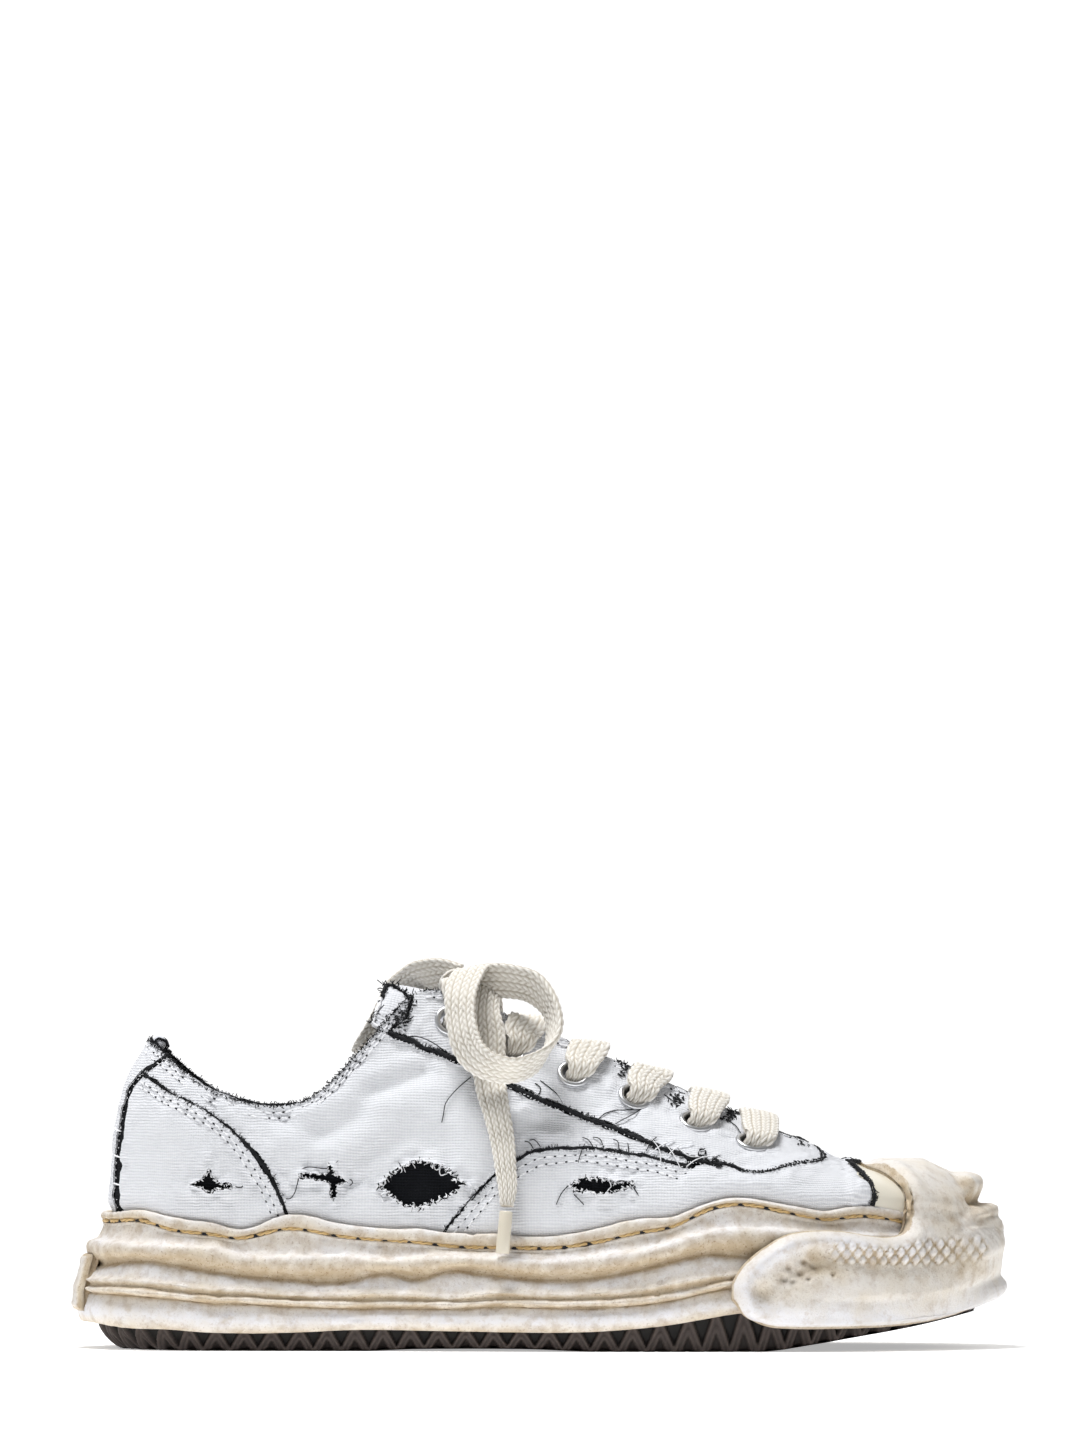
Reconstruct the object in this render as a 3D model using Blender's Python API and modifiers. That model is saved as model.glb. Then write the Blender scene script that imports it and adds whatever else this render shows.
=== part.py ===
"""Worn canvas sneaker, right foot: cup sole, hollow upper, toe guard, tongue, eyelets and lace.

The shoe stands on Z = 0 with its toe towards +X and its inner (medial) side towards +Y.
Every form is measured on upright columns that stand out from a spine inside the shoe: they fan
round the heel, run straight along the sides and fan round the toe. A column is named by its
station, 0 at the back of the heel, 360 at the tip of the toe, and 720 - station on the inner side.
A point of a column is (out, up): how far it stands out from the spine, and its height.
"""
import math
from bisect import bisect_right
from collections import namedtuple

import bmesh
import bpy
from mathutils import Matrix, Vector

MM = 0.001                      # the tables are in millimetres, the model in metres

# Driving sizes
HEEL_X, HEEL_Y = -108.0, -1.5   # back end of the spine, centre of the heel fan
TOE_X, TOE_Y = 75.0, 3.5        # front end, centre of the toe fan, swung to the inner side
TURN = 720.0                    # stations round the whole shoe
TIP = TURN / 2                  # station of the toe's tip
HEEL_SIDE, TOE_SIDE = 70.0, 253.0    # stations where the heel fan ends and the toe fan begins
GAP = 0.3                       # clear space between pieces that meet
WALL = 2.0                      # canvas upper with its lining
LIP = 2.1                       # lip of the cup sole
CAP = 1.0                       # toe cap
INSOLE = 4.2
TONGUE = 2.6
BED_BEVEL = 3.2                 # slope between the bed of the cup and its lip
TREAD_INSET = 3.9               # how far the tread stands inside the wall
GUARD_CLEAR = 1.35              # from the sole wall and the toe cap to the guard
LUG_PITCH = 9.0
LACE_WIDE, LACE_THICK = 12.5, 2.0
LACE_NARROW = 9.0               # where the hanging ends leave the knot
EYELET_RISE = 1.5               # highest point of an eyelet above the canvas

# Outline of the sole on each side, and how far the lip stands inside it
Outline = namedtuple("Outline", "station lateral medial lean")
OUTLINE = (
    Outline(0, 46.4, 46.4, 8.1),
    Outline(35, 46.2, 45.5, 7.6),
    Outline(70, 43.8, 41.6, 6.5),
    Outline(103, 45.8, 39.8, 6.0),
    Outline(136, 49.2, 38.6, 6.0),
    Outline(168, 54.0, 40.0, 6.0),
    Outline(200, 58.2, 44.5, 6.0),
    Outline(228, 59.8, 48.6, 6.0),
    Outline(253, 59.0, 50.6, 6.0),
    Outline(289, 60.5, 56.8, 6.2),
    Outline(324, 66.5, 69.5, 6.0),
    Outline(360, 75.5, 75.5, 5.0),
)

# Heights of the wavy sole wall along the shoe, and of the bed inside the cup
Wall = namedtuple("Wall", "x bottom roll low high crease ledge stitch lip bed")
WALLS = (
    Wall(-151, 9.0, 12.4, 20.0, 23.2, 28.4, 35.6, 42.5, 45.6, 28.0),
    Wall(-138, 7.5, 12.4, 19.6, 23.2, 29.8, 34.8, 43.0, 46.4, 28.0),
    Wall(-124, 7.2, 11.5, 18.6, 22.2, 29.0, 34.5, 39.9, 43.9, 27.8),
    Wall(-109, 6.2, 10.3, 17.2, 20.5, 26.6, 34.0, 38.5, 42.4, 27.6),
    Wall(-99, 6.0, 10.0, 17.0, 20.2, 25.2, 31.2, 37.3, 40.1, 27.5),
    Wall(-83, 6.2, 9.8, 16.1, 18.8, 24.0, 30.9, 40.4, 45.2, 27.0),
    Wall(-66, 7.0, 10.2, 15.5, 18.8, 23.4, 31.2, 37.9, 42.1, 26.5),
    Wall(-52, 7.2, 10.4, 15.6, 19.3, 25.9, 29.7, 36.6, 40.3, 26.0),
    Wall(-40, 7.0, 10.3, 15.6, 18.8, 24.5, 30.6, 35.9, 40.3, 25.4),
    Wall(-28, 6.8, 10.2, 15.4, 18.2, 27.0, 31.0, 34.6, 39.0, 24.8),
    Wall(-14, 6.6, 10.2, 16.2, 19.5, 25.4, 30.7, 34.3, 38.6, 23.8),
    Wall(4, 6.4, 10.0, 15.8, 19.0, 24.0, 29.5, 34.2, 38.0, 22.8),
    Wall(18, 6.8, 10.3, 16.0, 19.5, 24.8, 31.2, 36.0, 40.4, 22.0),
    Wall(32, 7.8, 11.2, 16.8, 20.5, 27.2, 32.6, 39.2, 43.6, 21.2),
    Wall(44, 9.2, 12.6, 18.4, 22.8, 30.2, 36.0, 41.4, 44.6, 20.7),
    Wall(56, 11.3, 14.6, 21.2, 25.0, 32.6, 39.4, 47.0, 49.4, 20.5),
    Wall(66, 12.8, 16.0, 22.8, 25.8, 31.8, 40.2, 48.6, 50.9, 20.5),
    Wall(78, 12.8, 16.2, 23.0, 26.0, 31.6, 40.0, 46.8, 49.2, 20.8),
    Wall(96, 13.0, 16.6, 23.4, 26.4, 31.6, 38.4, 43.6, 46.3, 21.6),
    Wall(110, 13.6, 17.2, 24.0, 27.0, 31.8, 38.2, 44.6, 48.2, 22.8),
    Wall(122, 14.6, 18.0, 24.6, 27.6, 32.0, 37.6, 43.2, 46.8, 24.2),
    Wall(136, 16.6, 20.0, 25.4, 28.0, 31.6, 35.6, 39.6, 43.0, 26.0),
    Wall(152, 19.5, 22.0, 26.0, 28.4, 31.0, 33.4, 35.6, 38.5, 28.0),
)

# Underside of the tread: flat at the heel and the ball, a hair higher between, rising to the toe
Tread = namedtuple("Tread", "x ground")
TREADS = (
    Tread(-160, 0.0), Tread(-60, 0.0), Tread(-40, 0.7), Tread(-5, 0.8), Tread(18, 0.0), Tread(73, 0.0),
    Tread(91, 2.4), Tread(105, 4.7), Tread(118, 6.8), Tread(130, 9.0), Tread(146, 12.4), Tread(160, 15.0),
)

# The upper above the lip: side, swell and edge are (out, up) on the outer and the inner side
Section = namedtuple("Section", "station side_up side_lat side_med swell_up swell_lat swell_med"
                                " edge_up edge_lat edge_med")
SECTIONS = (
    Section(0, 70.0, 34.2, 34.2, 89.5, 29.9, 29.9, 103.5, 21.6, 21.6),
    Section(35, 69.0, 34.1, 33.4, 85.0, 30.7, 30.0, 99.0, 24.0, 24.0),
    Section(70, 67.0, 34.2, 32.0, 77.5, 31.6, 30.0, 85.6, 28.0, 27.2),
    Section(86, 65.0, 35.0, 31.6, 74.5, 32.6, 30.2, 81.6, 29.8, 28.4),
    Section(103, 66.0, 36.0, 31.0, 76.5, 33.2, 29.8, 84.7, 30.2, 28.2),
    Section(120, 71.0, 35.9, 30.2, 87.5, 31.0, 28.0, 101.9, 26.6, 25.6),
    Section(136, 76.0, 35.4, 29.4, 98.0, 27.6, 25.4, 118.8, 20.0, 20.0),
    Section(150, 76.0, 35.9, 29.6, 98.0, 27.2, 24.9, 118.4, 18.5, 18.5),
    Section(168, 74.0, 37.8, 30.6, 95.0, 26.4, 24.4, 110.8, 17.0, 17.0),
    Section(200, 68.0, 41.4, 33.4, 84.0, 27.8, 25.4, 96.5, 15.5, 15.5),
    Section(228, 62.5, 44.6, 37.0, 74.5, 29.6, 27.0, 84.8, 13.5, 13.5),
    Section(253, 59.0, 45.6, 39.4, 67.0, 28.6, 26.8, 74.6, 10.0, 10.0),
    Section(289, 57.0, 46.0, 45.2, 63.6, 28.5, 28.5, 71.5, 10.0, 10.0),
    Section(324, 54.5, 50.0, 52.5, 60.2, 31.0, 32.0, 70.0, 10.5, 10.5),
    Section(360, 50.5, 60.0, 60.0, 58.2, 34.0, 34.0, 69.2, 11.0, 11.0),
)

# Toe guard: height of its lower edge, how far it reaches up over the toe, its thickness there,
# and the depth of the fold across it
Guard = namedtuple("Guard", "station foot reach thick fold")
GUARDS = (
    Guard(241, 17.5, 5.0, 1.0, 0.0),
    Guard(245, 12.5, 17.0, 2.2, 0.0),
    Guard(252, 8.6, 27.0, 3.0, 0.0),
    Guard(262, 7.6, 32.5, 3.3, 0.0),
    Guard(280, 7.5, 33.5, 3.4, 0.0),
    Guard(298, 7.8, 31.0, 3.6, 0.0),
    Guard(309, 8.4, 36.5, 4.2, 0.0),
    Guard(320, 9.4, 47.5, 4.8, 0.6),
    Guard(332, 11.0, 60.0, 5.0, 1.4),
    Guard(345, 13.4, 70.0, 5.4, 2.2),
    Guard(360, 15.4, 76.0, 5.6, 2.6),
)

# Tongue, from its hidden front end to its top: crown at the middle, half width at the side edges,
# how far the edges drop below the crown and lie behind it
Tongue = namedtuple("Tongue", "x crown half drop back")
TONGUES = (
    Tongue(91, 63.0, 12.0, 3.0, 0.0),
    Tongue(78, 69.0, 17.0, 6.0, 0.0),
    Tongue(62, 76.5, 20.0, 9.5, 0.0),
    Tongue(40, 86.0, 21.5, 12.5, 0.0),
    Tongue(18, 95.5, 22.5, 16.0, 0.0),
    Tongue(-2, 104.0, 23.0, 18.0, 0.0),
    Tongue(-18, 111.5, 23.0, 19.5, 0.0),
    Tongue(-32, 117.5, 23.0, 20.0, 1.0),
    Tongue(-44, 120.5, 21.6, 16.0, 2.5),
    Tongue(-52, 121.5, 21.5, 13.0, 4.5),
)

# Eyelet centres on the outer side, front to back
Eyelet = namedtuple("Eyelet", "x up")
EYELETS = (
    Eyelet(70.0, 67.8), Eyelet(51.3, 74.8), Eyelet(31.0, 83.2),
    Eyelet(11.0, 90.8), Eyelet(-9.4, 99.5), Eyelet(-29.7, 108.8),
)
EYELET_HOLE = 4.4               # radius of the hole in the canvas
EYELET_PROFILE = ((4.4, 1.7), (5.6, 0.95), (4.0, 0.95), (4.0, -2.3), (3.6, -2.3), (3.6, 1.3))    # (radius, up)

# Lace routes: centre line, and the direction across the flat of the lace
Lace = namedtuple("Lace", "x y z across")
LOOP_NEAR = (
    Lace(-21.5, -12.0, 125.8, (0.9, -0.3, 0.2)),
    Lace(-23.6, -21.0, 125.4, (0.9, -0.4, 0.1)),
    Lace(-26.2, -29.5, 118.6, (0.85, -0.5, 0.0)),
    Lace(-26.2, -33.5, 109.0, (0.8, -0.6, 0.1)),
    Lace(-23.4, -36.8, 99.6, (0.7, -0.6, 0.4)),
    Lace(-17.2, -40.0, 94.4, (0.45, -0.65, 0.6)),
    Lace(-9.0, -40.8, 92.8, (0.2, -0.7, 0.7)),
    Lace(-1.8, -38.6, 95.2, (0.1, -0.75, 0.6)),
    Lace(3.2, -35.5, 100.6, (0.3, -0.85, 0.4)),
    Lace(4.8, -32.5, 107.2, (0.4, -0.9, 0.2)),
    Lace(3.0, -28.5, 114.6, (0.35, -0.8, 0.5)),
    Lace(-2.2, -24.0, 120.2, (0.3, -0.5, 0.8)),
    Lace(-9.0, -18.0, 122.4, (0.15, -0.3, 0.9)),
    Lace(-13.6, -9.5, 124.2, (0.1, -0.4, 0.85)),
)
LOOP_FAR = (
    Lace(-33.5, 3.8, 125.2, (0.0, -0.45, 0.9)),
    Lace(-37.8, 8.5, 124.6, (-0.2, -0.5, 0.85)),
    Lace(-42.4, 15.0, 123.9, (-0.6, -0.6, 0.45)),
    Lace(-47.2, 22.5, 120.0, (-0.75, -0.5, 0.4)),
    Lace(-50.8, 28.5, 110.6, (-0.82, -0.25, 0.5)),
    Lace(-54.2, 31.5, 104.4, (-0.85, -0.1, 0.5)),
    Lace(-57.2, 34.0, 99.4, (-0.84, 0.05, 0.5)),
    Lace(-58.6, 38.0, 96.6, (-0.82, 0.1, 0.55)),
    Lace(-57.4, 41.5, 98.6, (-0.82, 0.1, 0.5)),
    Lace(-52.8, 40.0, 105.6, (-0.84, 0.0, 0.45)),
    Lace(-46.6, 35.5, 112.4, (-0.85, -0.2, 0.4)),
    Lace(-40.4, 29.0, 118.0, (-0.85, -0.35, 0.3)),
    Lace(-37.2, 24.8, 120.4, (-0.85, -0.4, 0.1)),
)
END_NEAR = (
    Lace(-18.6, -10.5, 118.8, (0.92, 0.0, -0.35)),
    Lace(-17.6, -17.5, 118.8, (0.92, 0.0, -0.38)),
    Lace(-18.2, -23.4, 112.5, (0.95, 0.0, -0.3)),
    Lace(-17.3, -26.6, 104.0, (0.97, -0.1, -0.1)),
    Lace(-17.0, -29.4, 95.5, (0.98, -0.1, 0.1)),
    Lace(-16.2, -33.6, 87.0, (0.97, -0.15, 0.2)),
    Lace(-14.4, -38.1, 79.0, (0.96, -0.2, 0.25)),
    Lace(-12.5, -41.3, 70.0, (0.97, -0.15, 0.2)),
    Lace(-11.4, -44.9, 61.0, (0.98, -0.1, 0.1)),
    Lace(-10.7, -47.7, 53.5, (1.0, 0.0, 0.0)),
    Lace(-11.0, -49.5, 48.0, (1.0, 0.0, 0.0)),
)
END_FAR = (
    Lace(-18.0, 11.0, 123.0, (0.92, 0.0, -0.35)),
    Lace(-17.6, 18.5, 121.6, (0.92, 0.0, -0.38)),
    Lace(-17.6, 25.0, 114.0, (0.95, 0.0, -0.3)),
    Lace(-17.8, 28.8, 104.5, (0.97, 0.1, -0.1)),
    Lace(-17.2, 31.2, 95.0, (0.95, 0.1, 0.1)),
    Lace(-15.6, 33.6, 84.5, (0.95, 0.15, 0.3)),
    Lace(-13.0, 35.6, 74.0, (0.97, 0.1, 0.2)),
    Lace(-11.6, 36.8, 64.5, (0.98, 0.1, 0.1)),
    Lace(-11.0, 37.8, 56.0, (1.0, 0.0, 0.0)),
    Lace(-11.2, 38.9, 49.5, (1.0, 0.0, 0.0)),
)
AGLET_NEAR = ((-11.1, -49.8, 47.2), (-12.4, -50.9, 32.4))
AGLET_FAR = ((-11.3, 39.2, 48.8), (-12.2, 40.5, 34.0))
AGLET_WIDE = 4.2
BAR_EDGE = 1.2                           # how far a bar rises towards the throat's edge
BAR_LEAN = (1.5, 4.5, 6.0, 5.0, 5.0)     # how far each bar, from the front, leans forward over the throat
BAR_WIDTHS = (8, 11, 13, 13, 13, 13, 13, 11, 8)
LEG_WIDTHS = (8, 10, 11, 9)
BAR_CROWN, BAR_BEND = 0.8, 0.8           # rise at the middle of a bar, and beside it
KNOT_AT, KNOT_SIZE = (-25.0, 0.5, 121.4), (15.0, 17.0, 10.0)


# ---------------------------------------------------------------- curves and columns

def curve(points, period=None):
    """Smooth curve through (at, value) points, as a function; closed when it has a period."""
    points = sorted(points)
    if period:
        before = [(at - period, value) for at, value in points[-2:]]
        after = [(at + period, value) for at, value in points[:2]]
        points = before + points + after
    ats = [at for at, _ in points]
    values = [value for _, value in points]
    last = len(points) - 1
    slopes = []
    for i in range(last + 1):
        a, b = max(i - 1, 0), min(i + 1, last)
        slopes.append((values[b] - values[a]) / (ats[b] - ats[a]))

    def value_at(at):
        if period:
            at %= period
        at = min(max(at, ats[0]), ats[-1])
        i = min(max(bisect_right(ats, at) - 1, 0), last - 1)
        span = ats[i + 1] - ats[i]
        t = (at - ats[i]) / span
        rise = t * t * (3 - 2 * t)
        leave = t * (1 - t) ** 2 * span
        arrive = t * t * (t - 1) * span
        return (values[i] * (1 - rise) + values[i + 1] * rise
                + slopes[i] * leave + slopes[i + 1] * arrive)

    return value_at


def along(rows, key, name):
    """Curve of one named column of a table against its key column."""
    return curve([(getattr(row, key), getattr(row, name)) for row in rows])


def around(rows, lateral, medial):
    """Closed curve round the shoe from a table of stations 0 to 360 with a value for each side."""
    outer = [(row.station, getattr(row, lateral)) for row in rows]
    inner = [(TURN - row.station, getattr(row, medial)) for row in rows if 0 < row.station < TIP]
    return curve(outer + inner, TURN)


outline = around(OUTLINE, "lateral", "medial")
lean = around(OUTLINE, "lean", "lean")
wall = {name: along(WALLS, "x", name) for name in Wall._fields[1:]}
tread = along(TREADS, "x", "ground")
section = {part: (around(SECTIONS, part + "_lat", part + "_med"), around(SECTIONS, part + "_up", part + "_up"))
           for part in ("side", "swell", "edge")}


def ground(x):
    """Height of the tread's underside."""
    return max(tread(x), 0.0)


def spine_y(x):
    """The spine, seen from above."""
    return HEEL_Y + (TOE_Y - HEEL_Y) * (x - HEEL_X) / (TOE_X - HEEL_X)


def station_at(x, side):
    """Station of the straight side at x, on the outer side (-1) or the inner side (+1)."""
    station = x - HEEL_X + HEEL_SIDE
    return station if side < 0 else TURN - station


def column(station):
    """Foot (x, y) and outward direction (x, y) of the column at a station."""
    station %= TURN
    side = -1.0 if station <= TIP else 1.0
    s = min(station, TURN - station)
    if s < HEEL_SIDE:
        angle = math.radians(90.0 * s / HEEL_SIDE)
        return (HEEL_X, HEEL_Y), (-math.cos(angle), side * math.sin(angle))
    if s <= TOE_SIDE:
        x = HEEL_X + s - HEEL_SIDE
        return (x, spine_y(x)), (0.0, side)
    angle = math.radians(90.0 * (s - TOE_SIDE) / (TIP - TOE_SIDE))
    return (TOE_X, TOE_Y), (math.sin(angle), side * math.cos(angle))


def place(station, out, up):
    """World point, in metres, of the point (out, up) on a column."""
    foot, way = column(station)
    return Vector((foot[0] + way[0] * out, foot[1] + way[1] * out, up)) * MM


def x_at(station, out):
    foot, way = column(station)
    return foot[0] + way[0] * out


# ---------------------------------------------------------------- lines of (out, up) on a column

def resample(line, count):
    """The same line with count points, evenly spaced along it."""
    lengths = [0.0]
    for a, b in zip(line, line[1:]):
        lengths.append(lengths[-1] + math.dist(a, b))
    points = []
    for k in range(count):
        at = lengths[-1] * k / (count - 1)
        i = min(bisect_right(lengths, at), len(line) - 1)
        part = (at - lengths[i - 1]) / (lengths[i] - lengths[i - 1])
        points.append(tuple(a + (b - a) * part for a, b in zip(line[i - 1], line[i])))
    return points


def piece_of(line, start, end):
    """The stretch of a line between two distances along it."""
    count = 60
    whole = resample(line, count)
    step = sum(math.dist(a, b) for a, b in zip(whole, whole[1:])) / (count - 1)
    first, last = start / step, min(end / step, count - 1)

    def at(index):
        i = min(int(index), count - 2)
        return tuple(a + (b - a) * (index - i) for a, b in zip(whole[i], whole[i + 1]))

    return [at(first + (last - first) * k / (count - 1)) for k in range(count)]


def offset(line, distance):
    """Line moved sideways, outwards for a line that climbs; distance may be one for each point."""
    moved = []
    for i, (out, up) in enumerate(line):
        a, b = line[max(i - 1, 0)], line[min(i + 1, len(line) - 1)]
        run, rise = b[0] - a[0], b[1] - a[1]
        size = math.hypot(run, rise)
        by = distance[i] if isinstance(distance, list) else distance
        moved.append((out + rise / size * by, up - run / size * by))
    return moved


def smooth_line(corners, steps=8):
    """Smooth line through corner points, steps points to each stretch."""
    lengths = [0.0]
    for a, b in zip(corners, corners[1:]):
        lengths.append(lengths[-1] + math.dist(a, b))
    out = curve([(at, corner[0]) for at, corner in zip(lengths, corners)])
    up = curve([(at, corner[1]) for at, corner in zip(lengths, corners)])
    ats = [lengths[i] + (lengths[i + 1] - lengths[i]) * k / steps
           for i in range(len(corners) - 1) for k in range(steps)] + [lengths[-1]]
    return [(out(at), up(at)) for at in ats]


def height_of(line, up):
    """Distance along a climbing line to where it first reaches a height."""
    run = 0.0
    for a, b in zip(line, line[1:]):
        if b[1] >= up > a[1]:
            return run + math.dist(a, b) * (up - a[1]) / (b[1] - a[1])
        run += math.dist(a, b)
    return 0.0 if up <= line[0][1] else run


def inside_lip(station):
    """How far the inner face of the lip stands out."""
    return outline(station) - lean(station) - LIP


def bed_at(station, out):
    """Height of the cup's bed, straight from the spine to the foot of the lip."""
    edge = inside_lip(station) - BED_BEVEL
    middle, rim = wall["bed"](x_at(station, 0)), wall["bed"](x_at(station, edge))
    return middle + (rim - middle) * out / edge


def upper_line(station):
    """Outer face of the upper on a column, from the bed of the cup sole to the topline."""
    foot = inside_lip(station) - GAP
    bed = bed_at(station, foot + GAP - BED_BEVEL)
    lip = wall["lip"](x_at(station, foot))
    corners = [(foot, bed + 7.0), (foot, lip + (4.0 if abs(station - TIP) > 60 else 2.0))]
    corners += [(out(station), up(station)) for out, up in section.values()]
    shown = [(min(out, foot), up) for out, up in smooth_line(corners)]
    return [(foot + 0.1 - BED_BEVEL, bed + GAP + 0.1)] + shown


def sole_wall(station):
    """Outer face of the sole wall on a column, from its bottom edge to the lip."""
    out, slope = outline(station), lean(station)
    at = {name: height(x_at(station, out)) for name, height in wall.items()}
    return [
        (out - 3.4, at["bottom"]),
        (out - 1.4, at["bottom"] + 0.9),
        (out - 0.3, at["roll"]),
        (out - 1.3, (at["roll"] + at["low"]) / 2),
        (out - 0.1, at["low"]),
        (out - 0.15 * slope, at["high"]),
        (out - 0.4 * slope - 0.9, at["crease"]),
        (out - 0.5 * slope, (at["crease"] + at["ledge"]) / 2),
        (out - 0.62 * slope, at["ledge"]),
        (out - 0.95 * slope, at["ledge"] + 1.4),
        (out - slope - 0.9, at["stitch"]),
        (out - slope + 0.2, (at["stitch"] + at["lip"]) / 2),
        (out - slope - 0.4, at["lip"]),
    ]


def shell_over_sole(station, clear):
    """Line that clears the sole wall, the lip and the toe cap from outside, from the ground up."""
    out, slope = outline(station), lean(station)
    at = {name: height(x_at(station, out)) for name, height in wall.items()}
    over = offset(upper_line(station), 2 * GAP + CAP + clear)
    start = height_of(over, at["lip"] + 3.0)
    over = piece_of(over, start, math.inf)
    return [
        (out - 2.9 + clear, 0.0),
        (out - 2.9 + clear, at["bottom"] - 2.0),
        (out + clear, at["bottom"] + 2.0),
        (out + clear, at["low"]),
        (out - 0.15 * slope + clear, at["high"]),
        (out - 0.45 * slope + clear, (at["crease"] + at["ledge"]) / 2),
        (out - 0.6 * slope + clear, at["ledge"]),
        (out - slope + 0.4 + clear, at["stitch"] + 1.0),
        (out - slope + 0.2 + clear, at["lip"]),
    ] + over


# ---------------------------------------------------------------- meshes

def finish(name, mesh_data, material):
    """Weld, face outwards, shade and link a new object made from a bmesh."""
    bmesh.ops.remove_doubles(mesh_data, verts=mesh_data.verts, dist=0.000001)
    bmesh.ops.recalc_face_normals(mesh_data, faces=mesh_data.faces)
    mesh = bpy.data.meshes.new(name)
    mesh_data.to_mesh(mesh)
    mesh_data.free()
    mesh.shade_smooth()
    mesh.set_sharp_from_angle(angle=math.radians(40))
    mesh.materials.append(material)
    part = bpy.data.objects.new(name, mesh)
    parts.objects.link(part)
    return part


def skin(mesh_data, rings, round_profile, round_path):
    """Faces between rings of points; closed round each ring and from last ring to first if asked."""
    rows = [[mesh_data.verts.new(point) for point in ring] for ring in rings]
    size = len(rows[0])
    pairs = list(zip(rows, rows[1:])) + ([(rows[-1], rows[0])] if round_path else [])
    for one, two in pairs:
        for k in range(size if round_profile else size - 1):
            n = (k + 1) % size
            corners = []
            for vert in (one[k], one[n], two[n], two[k]):
                if all((vert.co - other.co).length > 0.0000001 for other in corners):
                    corners.append(vert)
            if len(corners) > 2:
                mesh_data.faces.new(corners)
    return rows


def turned_round(name, stations, profile, material):
    """Solid whose closed section on each column is given by profile(station), right round the shoe."""
    mesh_data = bmesh.new()
    rings = [[place(s, *point) for point in profile(s)] for s in stations]
    skin(mesh_data, rings, True, True)
    return finish(name, mesh_data, material)


def plate_round(name, stations, profile, material):
    """Solid whose section runs from the spine's underside out and back to the spine's top."""
    mesh_data = bmesh.new()
    rings = [[place(s, *point) for point in profile(s)] for s in stations]
    skin(mesh_data, rings, False, True)
    return finish(name, mesh_data, material)


def strip(name, rings, material):
    """Solid lofted along closed rings, with both ends capped."""
    mesh_data = bmesh.new()
    rows = skin(mesh_data, rings, True, False)
    for row in (rows[0], rows[-1]):
        mesh_data.faces.new(row)
    bmesh.ops.triangulate(mesh_data, faces=[face for face in mesh_data.faces if len(face.verts) > 4])
    return finish(name, mesh_data, material)


def paint(name, colour, roughness, metallic=0.0):
    """Plain finish from an sRGB hex colour."""
    red, green, blue = (int(colour[i:i + 2], 16) / 255 for i in (0, 2, 4))
    linear = [value / 12.92 if value <= 0.04045 else ((value + 0.055) / 1.055) ** 2.4
              for value in (red, green, blue)]
    material = bpy.data.materials.new(name)
    material.use_nodes = True
    shader = material.node_tree.nodes["Principled BSDF"]
    shader.inputs["Base Color"].default_value = (*linear, 1.0)
    shader.inputs["Roughness"].default_value = roughness
    shader.inputs["Metallic"].default_value = metallic
    material.diffuse_color = (*linear, 1.0)
    return material


def stations_between(start, end, step):
    count = max(round((end - start) / step), 1)
    return [start + (end - start) * k / count for k in range(count)]


def station_ring(heel_step, side_step, toe_step):
    """Stations right round the shoe, the same on both sides, with a step for each region."""
    near = (stations_between(0, HEEL_SIDE, heel_step) + stations_between(HEEL_SIDE, TOE_SIDE, side_step)
            + stations_between(TOE_SIDE, TIP, toe_step))
    return near + [TIP] + [TURN - s for s in reversed(near) if s > 0]


# ---------------------------------------------------------------- the pieces

def make_outsole():
    """Tread slab with a zigzag of lugs round its edge, bevelled at the back of the heel."""
    count = 2 * round(TURN / LUG_PITCH)
    stations = [TURN * k / count for k in range(count)]
    bevel = curve([(0, 9.5), (35, 7.5), (70, 2.0), (100, 1.0), (253, 1.0), (330, 1.2), (360, 1.0)])

    def profile(station):
        out = outline(station) - TREAD_INSET
        inset = bevel(min(station, TURN - station))
        lug = 0.7 if round(station / TURN * count) % 2 else -0.6
        rim = out - inset - 1.0 + lug
        x = x_at(station, rim)
        top = wall["bottom"](x_at(station, out)) - GAP
        base = ground(x)
        middle = base + (top - base) * (0.5 - 0.12 * lug)
        spine_x = x_at(station, 0)
        return [
            (0, ground(spine_x)),
            (rim, base),
            (out - inset * 0.35 + lug, middle),
            (out, top),
            (0, wall["bottom"](spine_x) - GAP),
        ]

    return plate_round("outsole", stations, profile, paint("outsole rubber", "4A403C", 0.75))


def make_midsole():
    """Cup sole: wavy wall outside, a standing lip, and a bed inside for the upper and the insole."""
    def profile(station):
        lip = wall["lip"](x_at(station, outline(station)))
        inner = inside_lip(station)
        foot = inner - BED_BEVEL
        bed = bed_at(station, foot)
        spine_x = x_at(station, 0)
        return [
            (0, wall["bottom"](spine_x)),
            *sole_wall(station),
            (inner, lip),
            (inner, bed + 6.0),
            (foot, bed),
            (0, wall["bed"](spine_x)),
        ]

    return plate_round("midsole", STATIONS, profile, paint("cream rubber", "EDE4D6", 0.6))


def make_insole():
    def profile(station):
        foot = inside_lip(station) - 2 * GAP - BED_BEVEL - 0.1 - WALL
        middle, bed = bed_at(station, 0) + GAP, bed_at(station, foot) + GAP
        return [(0, middle), (foot, bed), (foot, bed + INSOLE), (0, middle + INSOLE)]

    return plate_round("insole", STATIONS, profile, paint("insole cloth", "B9AF9C", 0.9))


def upper_section(station):
    """Closed section of the upper's wall on a column."""
    outer = upper_line(station)
    outer = outer[:1] + resample(outer[1:], 10)
    return outer + offset(outer, -WALL)[::-1]


def make_upper():
    """Hollow canvas upper, open underneath and along the collar and the throat."""
    return turned_round("upper", STATIONS, upper_section, paint("canvas", "E4E6EA", 0.9))


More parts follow.
